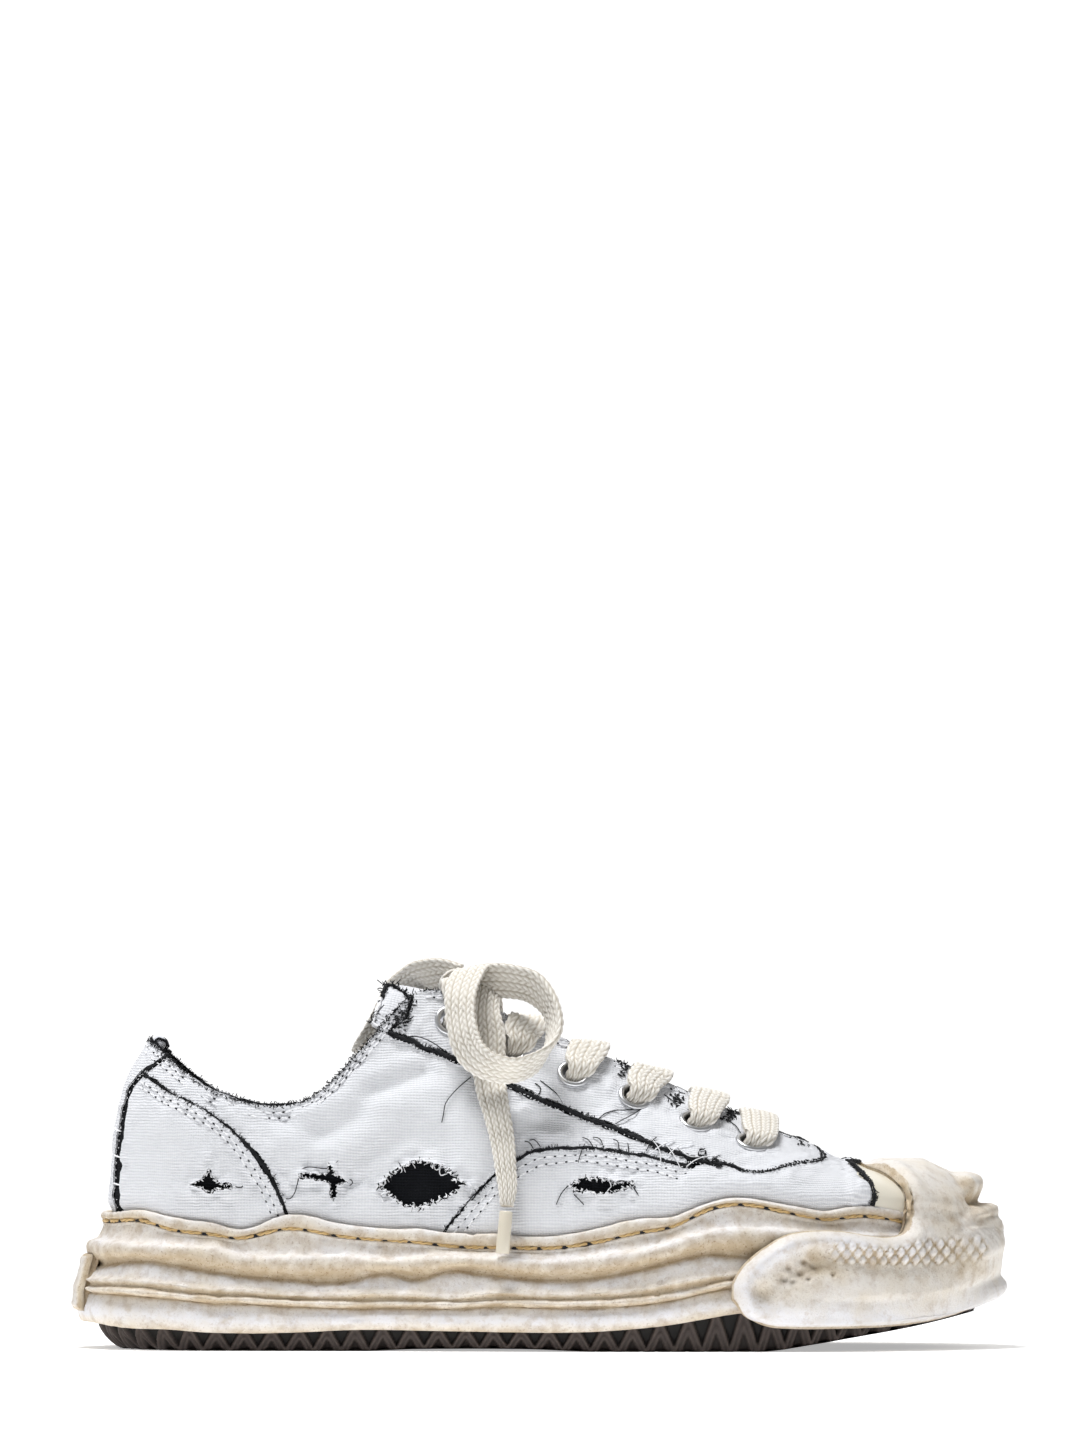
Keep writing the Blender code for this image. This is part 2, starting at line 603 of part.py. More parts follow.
def make_toe_cap():
    """Smooth cap over the toe of the upper, between the canvas and the guard."""
    first, rear = 304, 29.5

    def ring(station):
        line = upper_line(station)
        way = math.sin(math.radians(90.0 * (min(station, TURN - station) - TOE_SIDE) / (TIP - TOE_SIDE)))
        start = height_of(line, wall["lip"](x_at(station, outline(station))) + GAP + 0.2)
        end = next((sum(math.dist(a, b) for a, b in zip(line[:i], line[1:i + 1]))
                    for i in range(len(line)) if line[i][0] < rear / way), math.inf)
        line = resample(piece_of(line, start, end), 9)
        return offset(line, 2 * GAP) + offset(line, 2 * GAP + CAP)[::-1]

    stations = [s for s in STATIONS if first <= s <= TURN - first]
    rings = [[place(s, *point) for point in ring(s)] for s in stations]
    return strip("toe_cap", rings, paint("toe cap rubber", "E4DCC6", 0.45))


def make_toe_guard():
    """Thick lumpy rubber wrapped round the toe, with a lobe along each side."""
    named = {name: curve([(row.station, getattr(row, name)) for row in GUARDS]) for name in Guard._fields[1:]}
    count = 13

    def ring(station):
        s = min(station, TURN - station)
        line = shell_over_sole(station, GUARD_CLEAR)
        start = height_of(line, named["foot"](s))
        inner = resample(piece_of(line, start, start + named["reach"](s)), count)
        outer = []
        # Domed section with a fold across it, a nose over the tip and a flange along the bottom
        for k in range(count):
            t = k / (count - 1)
            dome = (1 - abs(2 * t - 1) ** 5) ** 0.5
            lumps = 1 + 0.10 * math.sin(station * 0.11 + 5 * t) + 0.08 * math.sin(station * 0.23 - 9 * t)
            fold = named["fold"](s) * math.exp(-((t - 0.47) / 0.07) ** 2)
            nose = 3.0 * math.exp(-((t - 0.6) / 0.10) ** 2 - ((s - TIP) / 9.0) ** 2)
            flange = 2.0 * math.exp(-((t - 0.08) / 0.08) ** 2)
            thin_foot = 0.45 + 0.55 * min(t / 0.3, 1)
            outer.append(0.7 + dome * (named["thick"](s) * lumps - fold + nose + flange) * thin_foot)
        return inner + offset(inner, outer)[::-1]

    sides = [241, 245, 249] + stations_between(TOE_SIDE, TIP, 107 / 16)
    stations = sides + [TIP] + [TURN - s for s in reversed(sides)]
    rings = [[place(s, *point) for point in ring(s)] for s in stations]
    return strip("toe_guard", rings, paint("guard rubber", "EFE7DA", 0.6))


def make_heel_patch():
    """Small bare rubber patch low at the back of the sole."""
    half, low, high = 14, 14.0, 31.0

    def ring(station):
        line = shell_over_sole(station, 2 * GAP)
        start, end = height_of(line, low), height_of(line, high)
        line = resample(piece_of(line, start, end), 5)
        return line + offset(line, [0.7, 1.1, 1.1, 1.0, 0.5])[::-1]

    stations = [-half, -half / 2, 0, half / 2, half]
    rings = [[place(s, *point) for point in ring(s)] for s in stations]
    return strip("heel_patch", rings, paint("patch rubber", "E6DCC8", 0.6))


def make_tongue():
    """Tongue: a curved strip under the throat, from below the vamp to above the topline."""
    named = {name: curve([(row.x, getattr(row, name)) for row in TONGUES]) for name in Tongue._fields[1:]}
    across = [-1.0, -0.78, -0.52, -0.26, 0.0, 0.26, 0.52, 0.78, 1.0]
    rings = []
    for row in TONGUES:
        middle = spine_y(row.x)
        top = []
        for part in across:
            bend = abs(part) ** 1.6
            top.append((row.x - row.back * bend, middle + row.half * part, row.crown - row.drop * bend))
        under = [(x + 0.4 * TONGUE, y * 0.97 + 0.03 * middle, up - 0.92 * TONGUE) for x, y, up in top]
        rings.append([Vector(point) * MM for point in top + under[::-1]])
    return strip("tongue", rings, paint("tongue canvas", "DFE1E6", 0.9))


def canvas_at(station, drop):
    """Point of the upper's outer face below its top edge, the outward normal and the way forward."""
    def point(at, below):
        line = upper_line(at)
        length = sum(math.dist(a, b) for a, b in zip(line, line[1:]))
        return place(at, *piece_of(line, length - below, length)[0])

    here = point(station, drop)
    climb = point(station, drop - 2) - point(station, drop + 2)
    forward = point(station + 3, drop) - point(station - 3, drop)
    if forward.x < 0:
        forward = -forward
    normal = climb.cross(forward).normalized()
    if normal.z < 0:
        normal = -normal
    return here, normal, forward.normalized()


def drop_to(station, up):
    """Distance below the top edge at which the upper's outer face has a height."""
    line = upper_line(station)
    return sum(math.dist(a, b) for a, b in zip(line, line[1:])) - height_of(line, up)


def eyelet_places():
    """Centre, outward normal and forward direction of each eyelet, named by pair and side."""
    places = {}
    for pair, row in enumerate(EYELETS, 1):
        for side, word in ((-1, "outer"), (1, "inner")):
            station = station_at(row.x, side)
            places[f"{pair}_{word}"] = canvas_at(station, drop_to(station, row.up))
    return places


def turn_to(normal, forward):
    """Rotation that takes local +Z to the normal and local +X nearly forward."""
    across = normal.cross(forward).normalized()
    return Matrix((across.cross(normal), across, normal)).transposed()


def make_eyelets(places, upper):
    """Flanged eyelet turned from its profile in each hole of the upper."""
    metal = paint("eyelet metal", "C9CBCE", 0.3, 1.0)
    mesh = bpy.data.meshes.new("eyelet")
    points = [(radius * MM, 0, up * MM) for radius, up in EYELET_PROFILE]
    mesh.from_pydata(points, [(i, (i + 1) % len(points)) for i in range(len(points))], [])
    mesh.materials.append(metal)
    holes = bmesh.new()
    for name, (centre, normal, forward) in places.items():
        turn = turn_to(normal, forward).to_4x4()
        eyelet = bpy.data.objects.new("eyelet_" + name, mesh)
        eyelet.matrix_world = Matrix.Translation(centre) @ turn
        parts.objects.link(eyelet)
        screw = eyelet.modifiers.new("turn", "SCREW")
        screw.steps = screw.render_steps = 10
        screw.use_merge_vertices = True
        screw.merge_threshold = 0.00001
        bmesh.ops.create_cone(holes, cap_ends=True, segments=10, radius1=EYELET_HOLE * MM,
                              radius2=EYELET_HOLE * MM, depth=5 * WALL * MM,
                              matrix=Matrix.Translation(centre) @ turn)
    cutter_mesh = bpy.data.meshes.new("eyelet_holes")
    holes.to_mesh(cutter_mesh)
    holes.free()
    cutter = bpy.data.objects.new("eyelet_holes", cutter_mesh)
    cutter.hide_render = True
    cutter.display_type = "WIRE"
    cutters.objects.link(cutter)
    cut = upper.modifiers.new("eyelet holes", "BOOLEAN")
    cut.operation = "DIFFERENCE"
    cut.object = cutter


def lace_band(name, route, widths, material, thick=LACE_THICK):
    """Flat lace with bevelled edges along (point, across) pairs, in metres."""
    rings = []
    for i, (point, across) in enumerate(route):
        before, after = route[max(i - 1, 0)][0], route[min(i + 1, len(route) - 1)][0]
        way = (after - before).normalized()
        across = (across - way * across.dot(way)).normalized()
        face = way.cross(across)
        half, deep = widths[i] / 2 * MM, thick / 2 * MM
        rings.append([point + across * half * a + face * deep * f for a, f in
                      ((-1, 0), (-0.75, 1), (0.75, 1), (1, 0), (0.75, -1), (-0.75, -1))])
    return strip(name, rings, material)


def table_route(rows):
    return [(Vector((row.x, row.y, row.z)) * MM, Vector(row.across)) for row in rows]


def make_lace(places):
    """Straight bars over the throat, the knot with its two legs, two loops and two ends with aglets."""
    cotton = paint("lace cotton", "E6E0D2", 0.95)
    lift = (EYELET_RISE + 3 * GAP + LACE_THICK / 2) * MM
    for pair, row in enumerate(EYELETS[:5], 1):
        halves = []
        for side, word in ((-1, "outer"), (1, "inner")):
            centre, normal, across = places[f"{pair}_{word}"]
            forward = BAR_LEAN[pair - 1]
            station = station_at(row.x, side)
            drop = drop_to(station, row.up)
            halves.append([(centre + normal * lift, across)])
            for part in (0.5, 1.0):
                near = min(station_at(row.x + forward * part, side), TURN - 1)
                point, face, _ = canvas_at(near, max(drop * (1 - part), 2.0))
                halves[-1].append((point + face * (lift + part * BAR_EDGE * MM), across))
        crown = (halves[0][-1][0] + halves[1][-1][0]) / 2 + Vector((0, 0, BAR_CROWN)) * MM
        across = (halves[0][-1][1] + halves[1][-1][1]).normalized()
        quarter = [((crown * 2 + half[-1][0]) / 3 + Vector((0, 0, BAR_BEND)) * MM, across) for half in halves]
        route = halves[0] + [quarter[0], (crown, across), quarter[1]] + halves[1][::-1]
        lace_band(f"lace_bar_{pair}", route, BAR_WIDTHS, cotton)
    for side, word in ((-1, "outer"), (1, "inner")):
        centre, normal, across = places[f"6_{word}"]
        station = station_at(EYELETS[5].x + 1.5, side)
        edge, face, _ = canvas_at(station, 2.0)
        over = edge + face * lift + Vector((0, 0, 6 * GAP)) * MM
        end = Vector(KNOT_AT) * MM + Vector((-2.0, side * (KNOT_SIZE[1] / 2 + 1.0), -1.2)) * MM
        route = [centre + normal * lift, (centre + edge) / 2 + (normal + face) / 2 * lift, over, end]
        lace_band("lace_leg_" + word, [(point, across) for point in route], LEG_WIDTHS, cotton)
    for name, rows in (("lace_loop_near", LOOP_NEAR), ("lace_loop_far", LOOP_FAR),
                       ("lace_end_near", END_NEAR), ("lace_end_far", END_FAR)):
        narrow = LACE_NARROW if "end" in name else LACE_WIDE
        lace_band(name, table_route(rows), [narrow] * 3 + [LACE_WIDE] * (len(rows) - 3), cotton)

    knot = bmesh.new()
    size = Matrix.Diagonal([side / 2 * MM for side in KNOT_SIZE] + [1])
    bmesh.ops.create_uvsphere(knot, u_segments=10, v_segments=6, radius=1,
                              matrix=Matrix.Translation(Vector(KNOT_AT) * MM) @ size)
    finish("lace_knot", knot, cotton)
    for name, (top, tip) in (("aglet_near", AGLET_NEAR), ("aglet_far", AGLET_FAR)):
        top, tip = Vector(top) * MM, Vector(tip) * MM
        tube = bmesh.new()
        turn = (tip - top).to_track_quat("Z", "X").to_matrix().to_4x4()
        bmesh.ops.create_cone(tube, cap_ends=True, segments=8, radius1=AGLET_WIDE / 2 * MM,
                              radius2=AGLET_WIDE / 2 * MM, depth=(tip - top).length,
                              matrix=Matrix.Translation((top + tip) / 2) @ turn)
        finish(name, tube, cotton)


# ---------------------------------------------------------------- build

for old in list(bpy.data.objects):
    bpy.data.objects.remove(old, do_unlink=True)
parts = bpy.data.collections.new("worn_sneaker")
cutters = bpy.data.collections.new("cutters")
bpy.context.scene.collection.children.link(parts)
bpy.context.scene.collection.children.link(cutters)

STATIONS = station_ring(14.0, 11.4, 107 / 8)

make_outsole()
make_midsole()
make_insole()
canvas_upper = make_upper()
make_toe_cap()
make_toe_guard()
make_heel_patch()
make_tongue()
eyelet_centres = eyelet_places()
make_eyelets(eyelet_centres, canvas_upper)
make_lace(eyelet_centres)
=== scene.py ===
"""Looks of the worn canvas sneaker: torn canvas over black cloth, hand-worked rubber, metal and lace.

Everything is set out in millimetres on upright columns that stand out from a spine inside the
shoe, the columns its solids are built on: they fan round the heel, run straight along the sides
and fan round the toe. A column is named by its station, 0 at the back of the heel, 360 at the tip
of the toe, and 720 - station on the inner side.
"""
import math
from collections import namedtuple
from functools import partial
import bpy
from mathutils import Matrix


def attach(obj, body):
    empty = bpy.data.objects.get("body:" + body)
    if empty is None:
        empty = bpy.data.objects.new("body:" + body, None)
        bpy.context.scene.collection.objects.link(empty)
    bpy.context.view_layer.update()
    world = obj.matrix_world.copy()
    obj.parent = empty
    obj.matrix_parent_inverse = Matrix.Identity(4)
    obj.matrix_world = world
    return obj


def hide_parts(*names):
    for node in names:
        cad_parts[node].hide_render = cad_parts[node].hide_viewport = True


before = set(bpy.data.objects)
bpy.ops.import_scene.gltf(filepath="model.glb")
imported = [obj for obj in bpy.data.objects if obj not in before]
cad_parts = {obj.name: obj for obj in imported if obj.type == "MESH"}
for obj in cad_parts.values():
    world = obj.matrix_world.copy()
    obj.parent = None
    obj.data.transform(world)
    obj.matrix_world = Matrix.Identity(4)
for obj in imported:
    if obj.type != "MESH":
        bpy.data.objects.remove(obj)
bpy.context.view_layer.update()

from types import SimpleNamespace

import bmesh
import bpy
import numpy as np
from mathutils import Vector
from mathutils.kdtree import KDTree
from numpy.linalg import norm

MM = 0.001


def table(columns, text):
    """Rows of named numbers, on lines or between semicolons."""
    row = namedtuple("Row", columns)
    return [row(*map(float, part.split())) for part in text.strip().replace("\n", ";").split(";")]


def stack(*parts):
    """Numbers or arrays side by side in a new last column."""
    return np.stack(np.broadcast_arrays(*parts), -1)


def unit(ways):
    """Directions made one long."""
    return ways / np.maximum(norm(ways, axis=-1, keepdims=True), 1e-9)


# ---- the last and the sole, in millimetres

HEEL_X, HEEL_Y = -108, -1.5
TOE_X, TOE_Y = 75, 3.5
TURN, TIP = 720, 360
HEEL_SIDE, TOE_SIDE = 70, 253
GAP, LIP, CAP = 0.3, 2.1, 1
INSOLE, TONGUE = 4.2, 2.6

OUTLINE = table("station lateral medial lean", """
0 46.4 46.4 8.1
35 46.2 45.5 7.6
70 43.8 41.6 6.5
103 45.8 39.8 6
136 49.2 38.6 6
168 54 40 6
200 58.2 44.5 6
228 59.8 48.6 6
253 59 50.6 6
289 60.5 56.8 6.2
324 66.5 69.5 6
360 75.5 75.5 5
""")

WALLS = table("x bottom roll low high crease ledge stitch lip bed", """
-151 9 12.4 20 23.2 28.4 35.6 42.5 45.6 28
-138 7.5 12.4 19.6 23.2 29.8 34.8 43 46.4 28
-124 7.2 11.5 18.6 22.2 29 34.5 39.9 43.9 27.8
-109 6.2 10.3 17.2 20.5 26.6 34 38.5 42.4 27.6
-99 6 10 17 20.2 25.2 31.2 37.3 40.1 27.5
-83 6.2 9.8 16.1 18.8 24 30.9 40.4 45.2 27
-66 7 10.2 15.5 18.8 23.4 31.2 37.9 42.1 26.5
-52 7.2 10.4 15.6 19.3 25.9 29.7 36.6 40.3 26
-40 7 10.3 15.6 18.8 24.5 30.6 35.9 40.3 25.4
-28 6.8 10.2 15.4 18.2 27 31 34.6 39 24.8
-14 6.6 10.2 16.2 19.5 25.4 30.7 34.3 38.6 23.8
4 6.4 10 15.8 19 24 29.5 34.2 38 22.8
18 6.8 10.3 16 19.5 24.8 31.2 36 40.4 22
32 7.8 11.2 16.8 20.5 27.2 32.6 39.2 43.6 21.2
44 9.2 12.6 18.4 22.8 30.2 36 41.4 44.6 20.7
56 11.3 14.6 21.2 25 32.6 39.4 47 49.4 20.5
66 12.8 16 22.8 25.8 31.8 40.2 48.6 50.9 20.5
78 12.8 16.2 23 26 31.6 40 46.8 49.2 20.8
96 13 16.6 23.4 26.4 31.6 38.4 43.6 46.3 21.6
110 13.6 17.2 24 27 31.8 38.2 44.6 48.2 22.8
122 14.6 18 24.6 27.6 32 37.6 43.2 46.8 24.2
136 16.6 20 25.4 28 31.6 35.6 39.6 43 26
152 19.5 22 26 28.4 31 33.4 35.6 38.5 28
""")

TREADS = table("x ground",
    "-160 0; -60 0; -40 0.7; -5 0.8; 18 0; 73 0; 91 2.4; 105 4.7; 118 6.8; 130 9; 146 12.4; 160 15")

SECTIONS = table(
    "station side_up side_lat side_med swell_up swell_lat swell_med edge_up edge_lat edge_med", """
0 70 34.2 34.2 89.5 29.9 29.9 103.5 21.6 21.6
35 69 34.1 33.4 85 30.7 30 99 24 24
70 67 34.2 32 77.5 31.6 30 85.6 28 27.2
86 65 35 31.6 74.5 32.6 30.2 81.6 29.8 28.4
103 66 36 31 76.5 33.2 29.8 84.7 30.2 28.2
120 71 35.9 30.2 87.5 31 28 101.9 26.6 25.6
136 76 35.4 29.4 98 27.6 25.4 118.8 20 20
150 76 35.9 29.6 98 27.2 24.9 118.4 18.5 18.5
168 74 37.8 30.6 95 26.4 24.4 110.8 17 17
200 68 41.4 33.4 84 27.8 25.4 96.5 15.5 15.5
228 62.5 44.6 37 74.5 29.6 27 84.8 13.5 13.5
253 59 45.6 39.4 67 28.6 26.8 74.6 10 10
289 57 46 45.2 63.6 28.5 28.5 71.5 10 10
324 54.5 50 52.5 60.2 31 32 70 10.5 10.5
360 50.5 60 60 58.2 34 34 69.2 11 11
""")


# ---- curves, columns and noise

def curve(points, period=None):
    """Smooth curve through (at, value) points, as a function."""
    points = sorted(points)
    if period:
        points = ([(at - period, value) for at, value in points[-2:]] + points
                  + [(at + period, value) for at, value in points[:2]])
    ats, values = (np.array(column, float) for column in zip(*points))
    nearby = np.r_[0, np.arange(len(ats) - 2), len(ats) - 2], np.r_[1, np.arange(2, len(ats)), len(ats) - 1]
    slopes = (values[nearby[1]] - values[nearby[0]]) / (ats[nearby[1]] - ats[nearby[0]])

    def value_at(at):
        at = np.asarray(at, float)
        if period:
            at = at % period
        at = np.clip(at, ats[0], ats[-1])
        i = np.clip(np.searchsorted(ats, at, side="right") - 1, 0, len(ats) - 2)
        span = ats[i + 1] - ats[i]
        t = (at - ats[i]) / span
        rise = t * t * (3 - 2 * t)
        leave = t * (1 - t) ** 2 * span
        arrive = t * t * (t - 1) * span
        return values[i] * (1 - rise) + values[i + 1] * rise + slopes[i] * leave + slopes[i + 1] * arrive

    return value_at


def curves_of(rows):
    """A curve for each column of a table, by its first column."""
    return {name: curve([(row[0], getattr(row, name)) for row in rows]) for name in rows[0]._fields[1:]}


def around(rows, lateral, medial):
    """Closed curve round the shoe from a table with a value for each side."""
    outer = [(row.station, getattr(row, lateral)) for row in rows]
    inner = [(TURN - row.station, getattr(row, medial)) for row in rows if 0 < row.station < TIP]
    return curve(outer + inner, TURN)


outline = around(OUTLINE, "lateral", "medial")
lean = around(OUTLINE, "lean", "lean")
wall = curves_of(WALLS)
tread = curve(TREADS)
section = [(around(SECTIONS, part + "_lat", part + "_med"), around(SECTIONS, part + "_up", part + "_up"))
           for part in ("side", "swell", "edge")]


def spine_y(x):
    return HEEL_Y + (TOE_Y - HEEL_Y) * (x - HEEL_X) / (TOE_X - HEEL_X)


def column(station):
    """Foot x, y and outward direction x, y of the columns."""
    station = np.asarray(station, float) % TURN
    side = np.where(station <= TIP, -1, 1)
    s = np.minimum(station, TURN - station)
    heel = np.radians(90 * np.minimum(s / HEEL_SIDE, 1))
    toe = np.radians(90 * np.maximum((s - TOE_SIDE) / (TIP - TOE_SIDE), 0))
    foot_x = HEEL_X + np.clip(s - HEEL_SIDE, 0, TOE_X - HEEL_X)
    way_x = np.sin(toe) - np.cos(heel)
    way_y = side * np.sin(heel) * np.cos(toe)
    return foot_x, spine_y(foot_x), way_x, way_y


def place(station, out, up):
    """Points, in millimetres, at (out, up) on the columns."""
    foot_x, foot_y, way_x, way_y = column(station)
    return stack(foot_x + way_x * out, foot_y + way_y * out, up)


def x_at(station, out):
    foot_x, _, way_x, _ = column(station)
    return foot_x + way_x * out


def ground(x):
    return np.maximum(tread(x), 0)


def ease(low, high, value):
    t = np.clip((value - low) / (high - low), 0, 1)
    return t * t * (3 - 2 * t)


def powered(value, power):
    """Power of a number with the number's own sign."""
    return np.sign(value) * np.abs(value) ** power


def noise(points, size, seed=0):
    """Smooth noise from -1 to 1, with lumps of about the given size."""
    p = np.asarray(points, float) / size + 17.3 * seed
    cell = np.floor(p).astype(np.int64)
    t = p - cell
    t = t * t * t * (t * (6 * t - 15) + 10)
    total = np.zeros(p.shape[:-1])
    for corner in range(8):
        step = np.array([corner & 1, corner >> 1 & 1, corner >> 2 & 1])
        c = cell + step
        mixed = (c[..., 0] * 73856093) ^ (c[..., 1] * 19349663) ^ (c[..., 2] * 83492791)
        mixed = (mixed ^ (mixed >> 13)) * 1274126177 & 0x7FFFFFFF
        mixed = (mixed ^ (mixed >> 11)) * 668265263 & 0x7FFFFFFF
        value = (mixed % 100003) / 50001.5 - 1
        total += value * np.prod(np.where(step, t, 1 - t), -1)
    return total


def jitter(points, size, seed):
    """Noise in each direction, up to 0.3 mm."""
    return 0.3 * np.stack([noise(points, size, seed + k) for k in range(3)], 1)


def layered(points, size, depth=3, seed=0):
    """Noise with finer and weaker layers on top."""
    return sum(noise(points, size / 2 ** k, seed + k) / 2 ** k for k in range(depth))


def smooth_lines(corners, steps=10):
    """Smooth lines through rows of corners that start with (out, up), the corners kept."""
    last = corners.shape[1] - 1
    gaps = norm(np.diff(corners[..., :2], axis=1), axis=2)
    ends = np.concatenate([np.zeros((len(gaps), 1)), np.cumsum(gaps, 1)], 1)
    low, high = np.maximum(np.arange(last + 1) - 1, 0), np.minimum(np.arange(last + 1) + 1, last)
    slopes = (corners[:, high] - corners[:, low]) / (ends[:, high] - ends[:, low])[..., None]
    made = []
    for i in range(last):
        span = gaps[:, i, None]
        for k in range(steps):
            t = k / steps
            rise = t * t * (3 - 2 * t)
            made.append(corners[:, i] * (1 - rise) + corners[:, i + 1] * rise
                        + slopes[:, i] * t * (1 - t) ** 2 * span + slopes[:, i + 1] * t * t * (t - 1) * span)
    made.append(corners[:, last])
    return np.stack(made, 1)


def run_of(line):
    """Distance along a line to each of its points."""
    return np.r_[0, np.cumsum(norm(np.diff(line, axis=0), axis=1))]


def sampled(line, run, ats):
    """Every column of a line at given distances along it."""
    return np.stack([np.interp(ats, run, values) for values in line.T], 1)


def spread(lines, start, end, count):
    """Evenly spaced points between two distances along each line."""
    made = []
    for line, low, high in zip(lines, np.broadcast_to(start, len(lines)), np.broadcast_to(end, len(lines))):
        run = run_of(line)
        made.append(sampled(line, run, np.linspace(low, min(high, run[-1]), count)))
    return np.stack(made)


def run_to(lines, up):
    """Distance along each climbing line to where it reaches a height."""
    return np.array([np.interp(level, np.maximum.accumulate(line[:, 1]), run_of(line))
        for line, level in zip(lines, np.broadcast_to(up, len(lines)))])


def inside_lip(station):
    return outline(station) - lean(station) - LIP


def bed_at(station, out):
    edge = inside_lip(station) - 3.2
    middle, rim = wall["bed"](x_at(station, 0)), wall["bed"](x_at(station, edge))
    return middle + (rim - middle) * out / edge


def upper_lines(station):
    """Outer face of the upper on each column, from inside the cup sole to the topline."""
    foot = inside_lip(station) - GAP
    bed = bed_at(station, foot - 2.9)
    lip = wall["lip"](x_at(station, foot))
    above = np.where(np.abs(station % TURN - TIP) > 60, 4, 2)
    corners = [(foot, bed + 7), (foot, lip + above)] + [(out(station), up(station)) for out, up in section]
    lines = smooth_lines(np.stack([stack(*corner) for corner in corners], 1))
    lines[..., 0] = np.minimum(lines[..., 0], foot[:, None])
    return lines


# ---- making pieces and finishes

def stand(name, data, spot=(0, 0, 0)):
    """A new object in the scene, at a spot in metres."""
    made = bpy.data.objects.new(name, data)
    made.location = spot
    bpy.context.scene.collection.objects.link(made)
    return made


def piece(name, points, faces, material, slot="canvas", replaces=(), uv=None, fields=None):
    """A mesh piece from points in millimetres that rides on the shoe, with the given material; slot is not
    used.
    """
    mesh = bpy.data.meshes.new(name)
    mesh.from_pydata((np.reshape(points, (-1, 3)) * MM).tolist(), [], [list(face) for face in faces])
    mesh.materials.append(material)
    mesh.shade_smooth()
    if uv is not None:
        corners = np.empty(len(mesh.loops), np.int32)
        mesh.loops.foreach_get("vertex_index", corners)
        layer = mesh.uv_layers.new(name="thread")
        layer.data.foreach_set("uv", np.asarray(uv, np.float32)[corners].ravel())
    for field, values in (fields or {}).items():
        layer = mesh.attributes.new(field, "FLOAT", "POINT")
        layer.data.foreach_set("value", np.asarray(values, np.float32).ravel())
    made = stand(name, mesh)
    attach(made, "root")
    if replaces:
        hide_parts(*replaces)
    return made


def sheet_faces(rows, columns, closed_rows=False, closed_columns=False):
    """Quads of a grid of points stored row by row."""
    i = np.arange(rows if closed_rows else rows - 1)
    j = np.arange(columns if closed_columns else columns - 1)
    a = (i[:, None] * columns + j[None, :]).ravel()
    b = (i[:, None] * columns + (j[None, :] + 1) % columns).ravel()
    c = ((i[:, None] + 1) % rows * columns + (j[None, :] + 1) % columns).ravel()
    d = ((i[:, None] + 1) % rows * columns + j[None, :]).ravel()
    return np.stack([a, b, c, d], 1)


def tube_faces(rings, sides, first=0):
    """Faces of a tube of rings with closed ends, its points numbered from first."""
    end = first + (rings - 1) * sides
    return ((sheet_faces(rings, sides, False, True) + first).tolist()
            + [list(range(first, first + sides))[::-1], list(range(end, end + sides))])


def colour(code):
    """Linear colour from an sRGB hex code."""
    parts = [int(code[i:i + 2], 16) / 255 for i in (0, 2, 4)]
    return [part / 12.92 if part <= 0.04045 else ((part + 0.055) / 1.055) ** 2.4 for part in parts] + [1]


def add(tree, kind, inputs=(), out=0, **settings):
    """Adds a shader node and returns an output; an input is a value or another node's output."""
    made = tree.nodes.new("ShaderNode" + kind)
    for key, value in settings.items():
        setattr(made, key, value)
    for key, value in dict(inputs).items():
        if isinstance(value, bpy.types.NodeSocket):
            tree.links.new(value, made.inputs[key])
        else:
            made.inputs[key].default_value = value
    return made.outputs[out]


def finish_of(name, **values):
    """A new material with values on its shader, and the function that adds its nodes."""
    material = bpy.data.materials.new(name)
    material.use_nodes = True
    for key, value in values.items():
        material.node_tree.nodes["Principled BSDF"].inputs[key.replace("_", " ")].default_value = value
    return material, partial(add, material.node_tree)


def finished(material, tint, relief=None):
    """The material with a node's colour, and its relief, on its shader."""
    tree = material.node_tree
    tree.links.new(tint, tree.nodes["Principled BSDF"].inputs["Base Color"])
    if relief:
        tree.links.new(relief, tree.nodes["Principled BSDF"].inputs["Normal"])
    return material


def plain(name, code, **values):
    """A finish of one even colour."""
    return finish_of(name, Base_Color=colour(code), **values)[0]


# ---- camera, light and floor

def look(thing, target):
    thing.rotation_euler = (Vector(target) - thing.location).to_track_quat("-Z", "Y").to_euler()


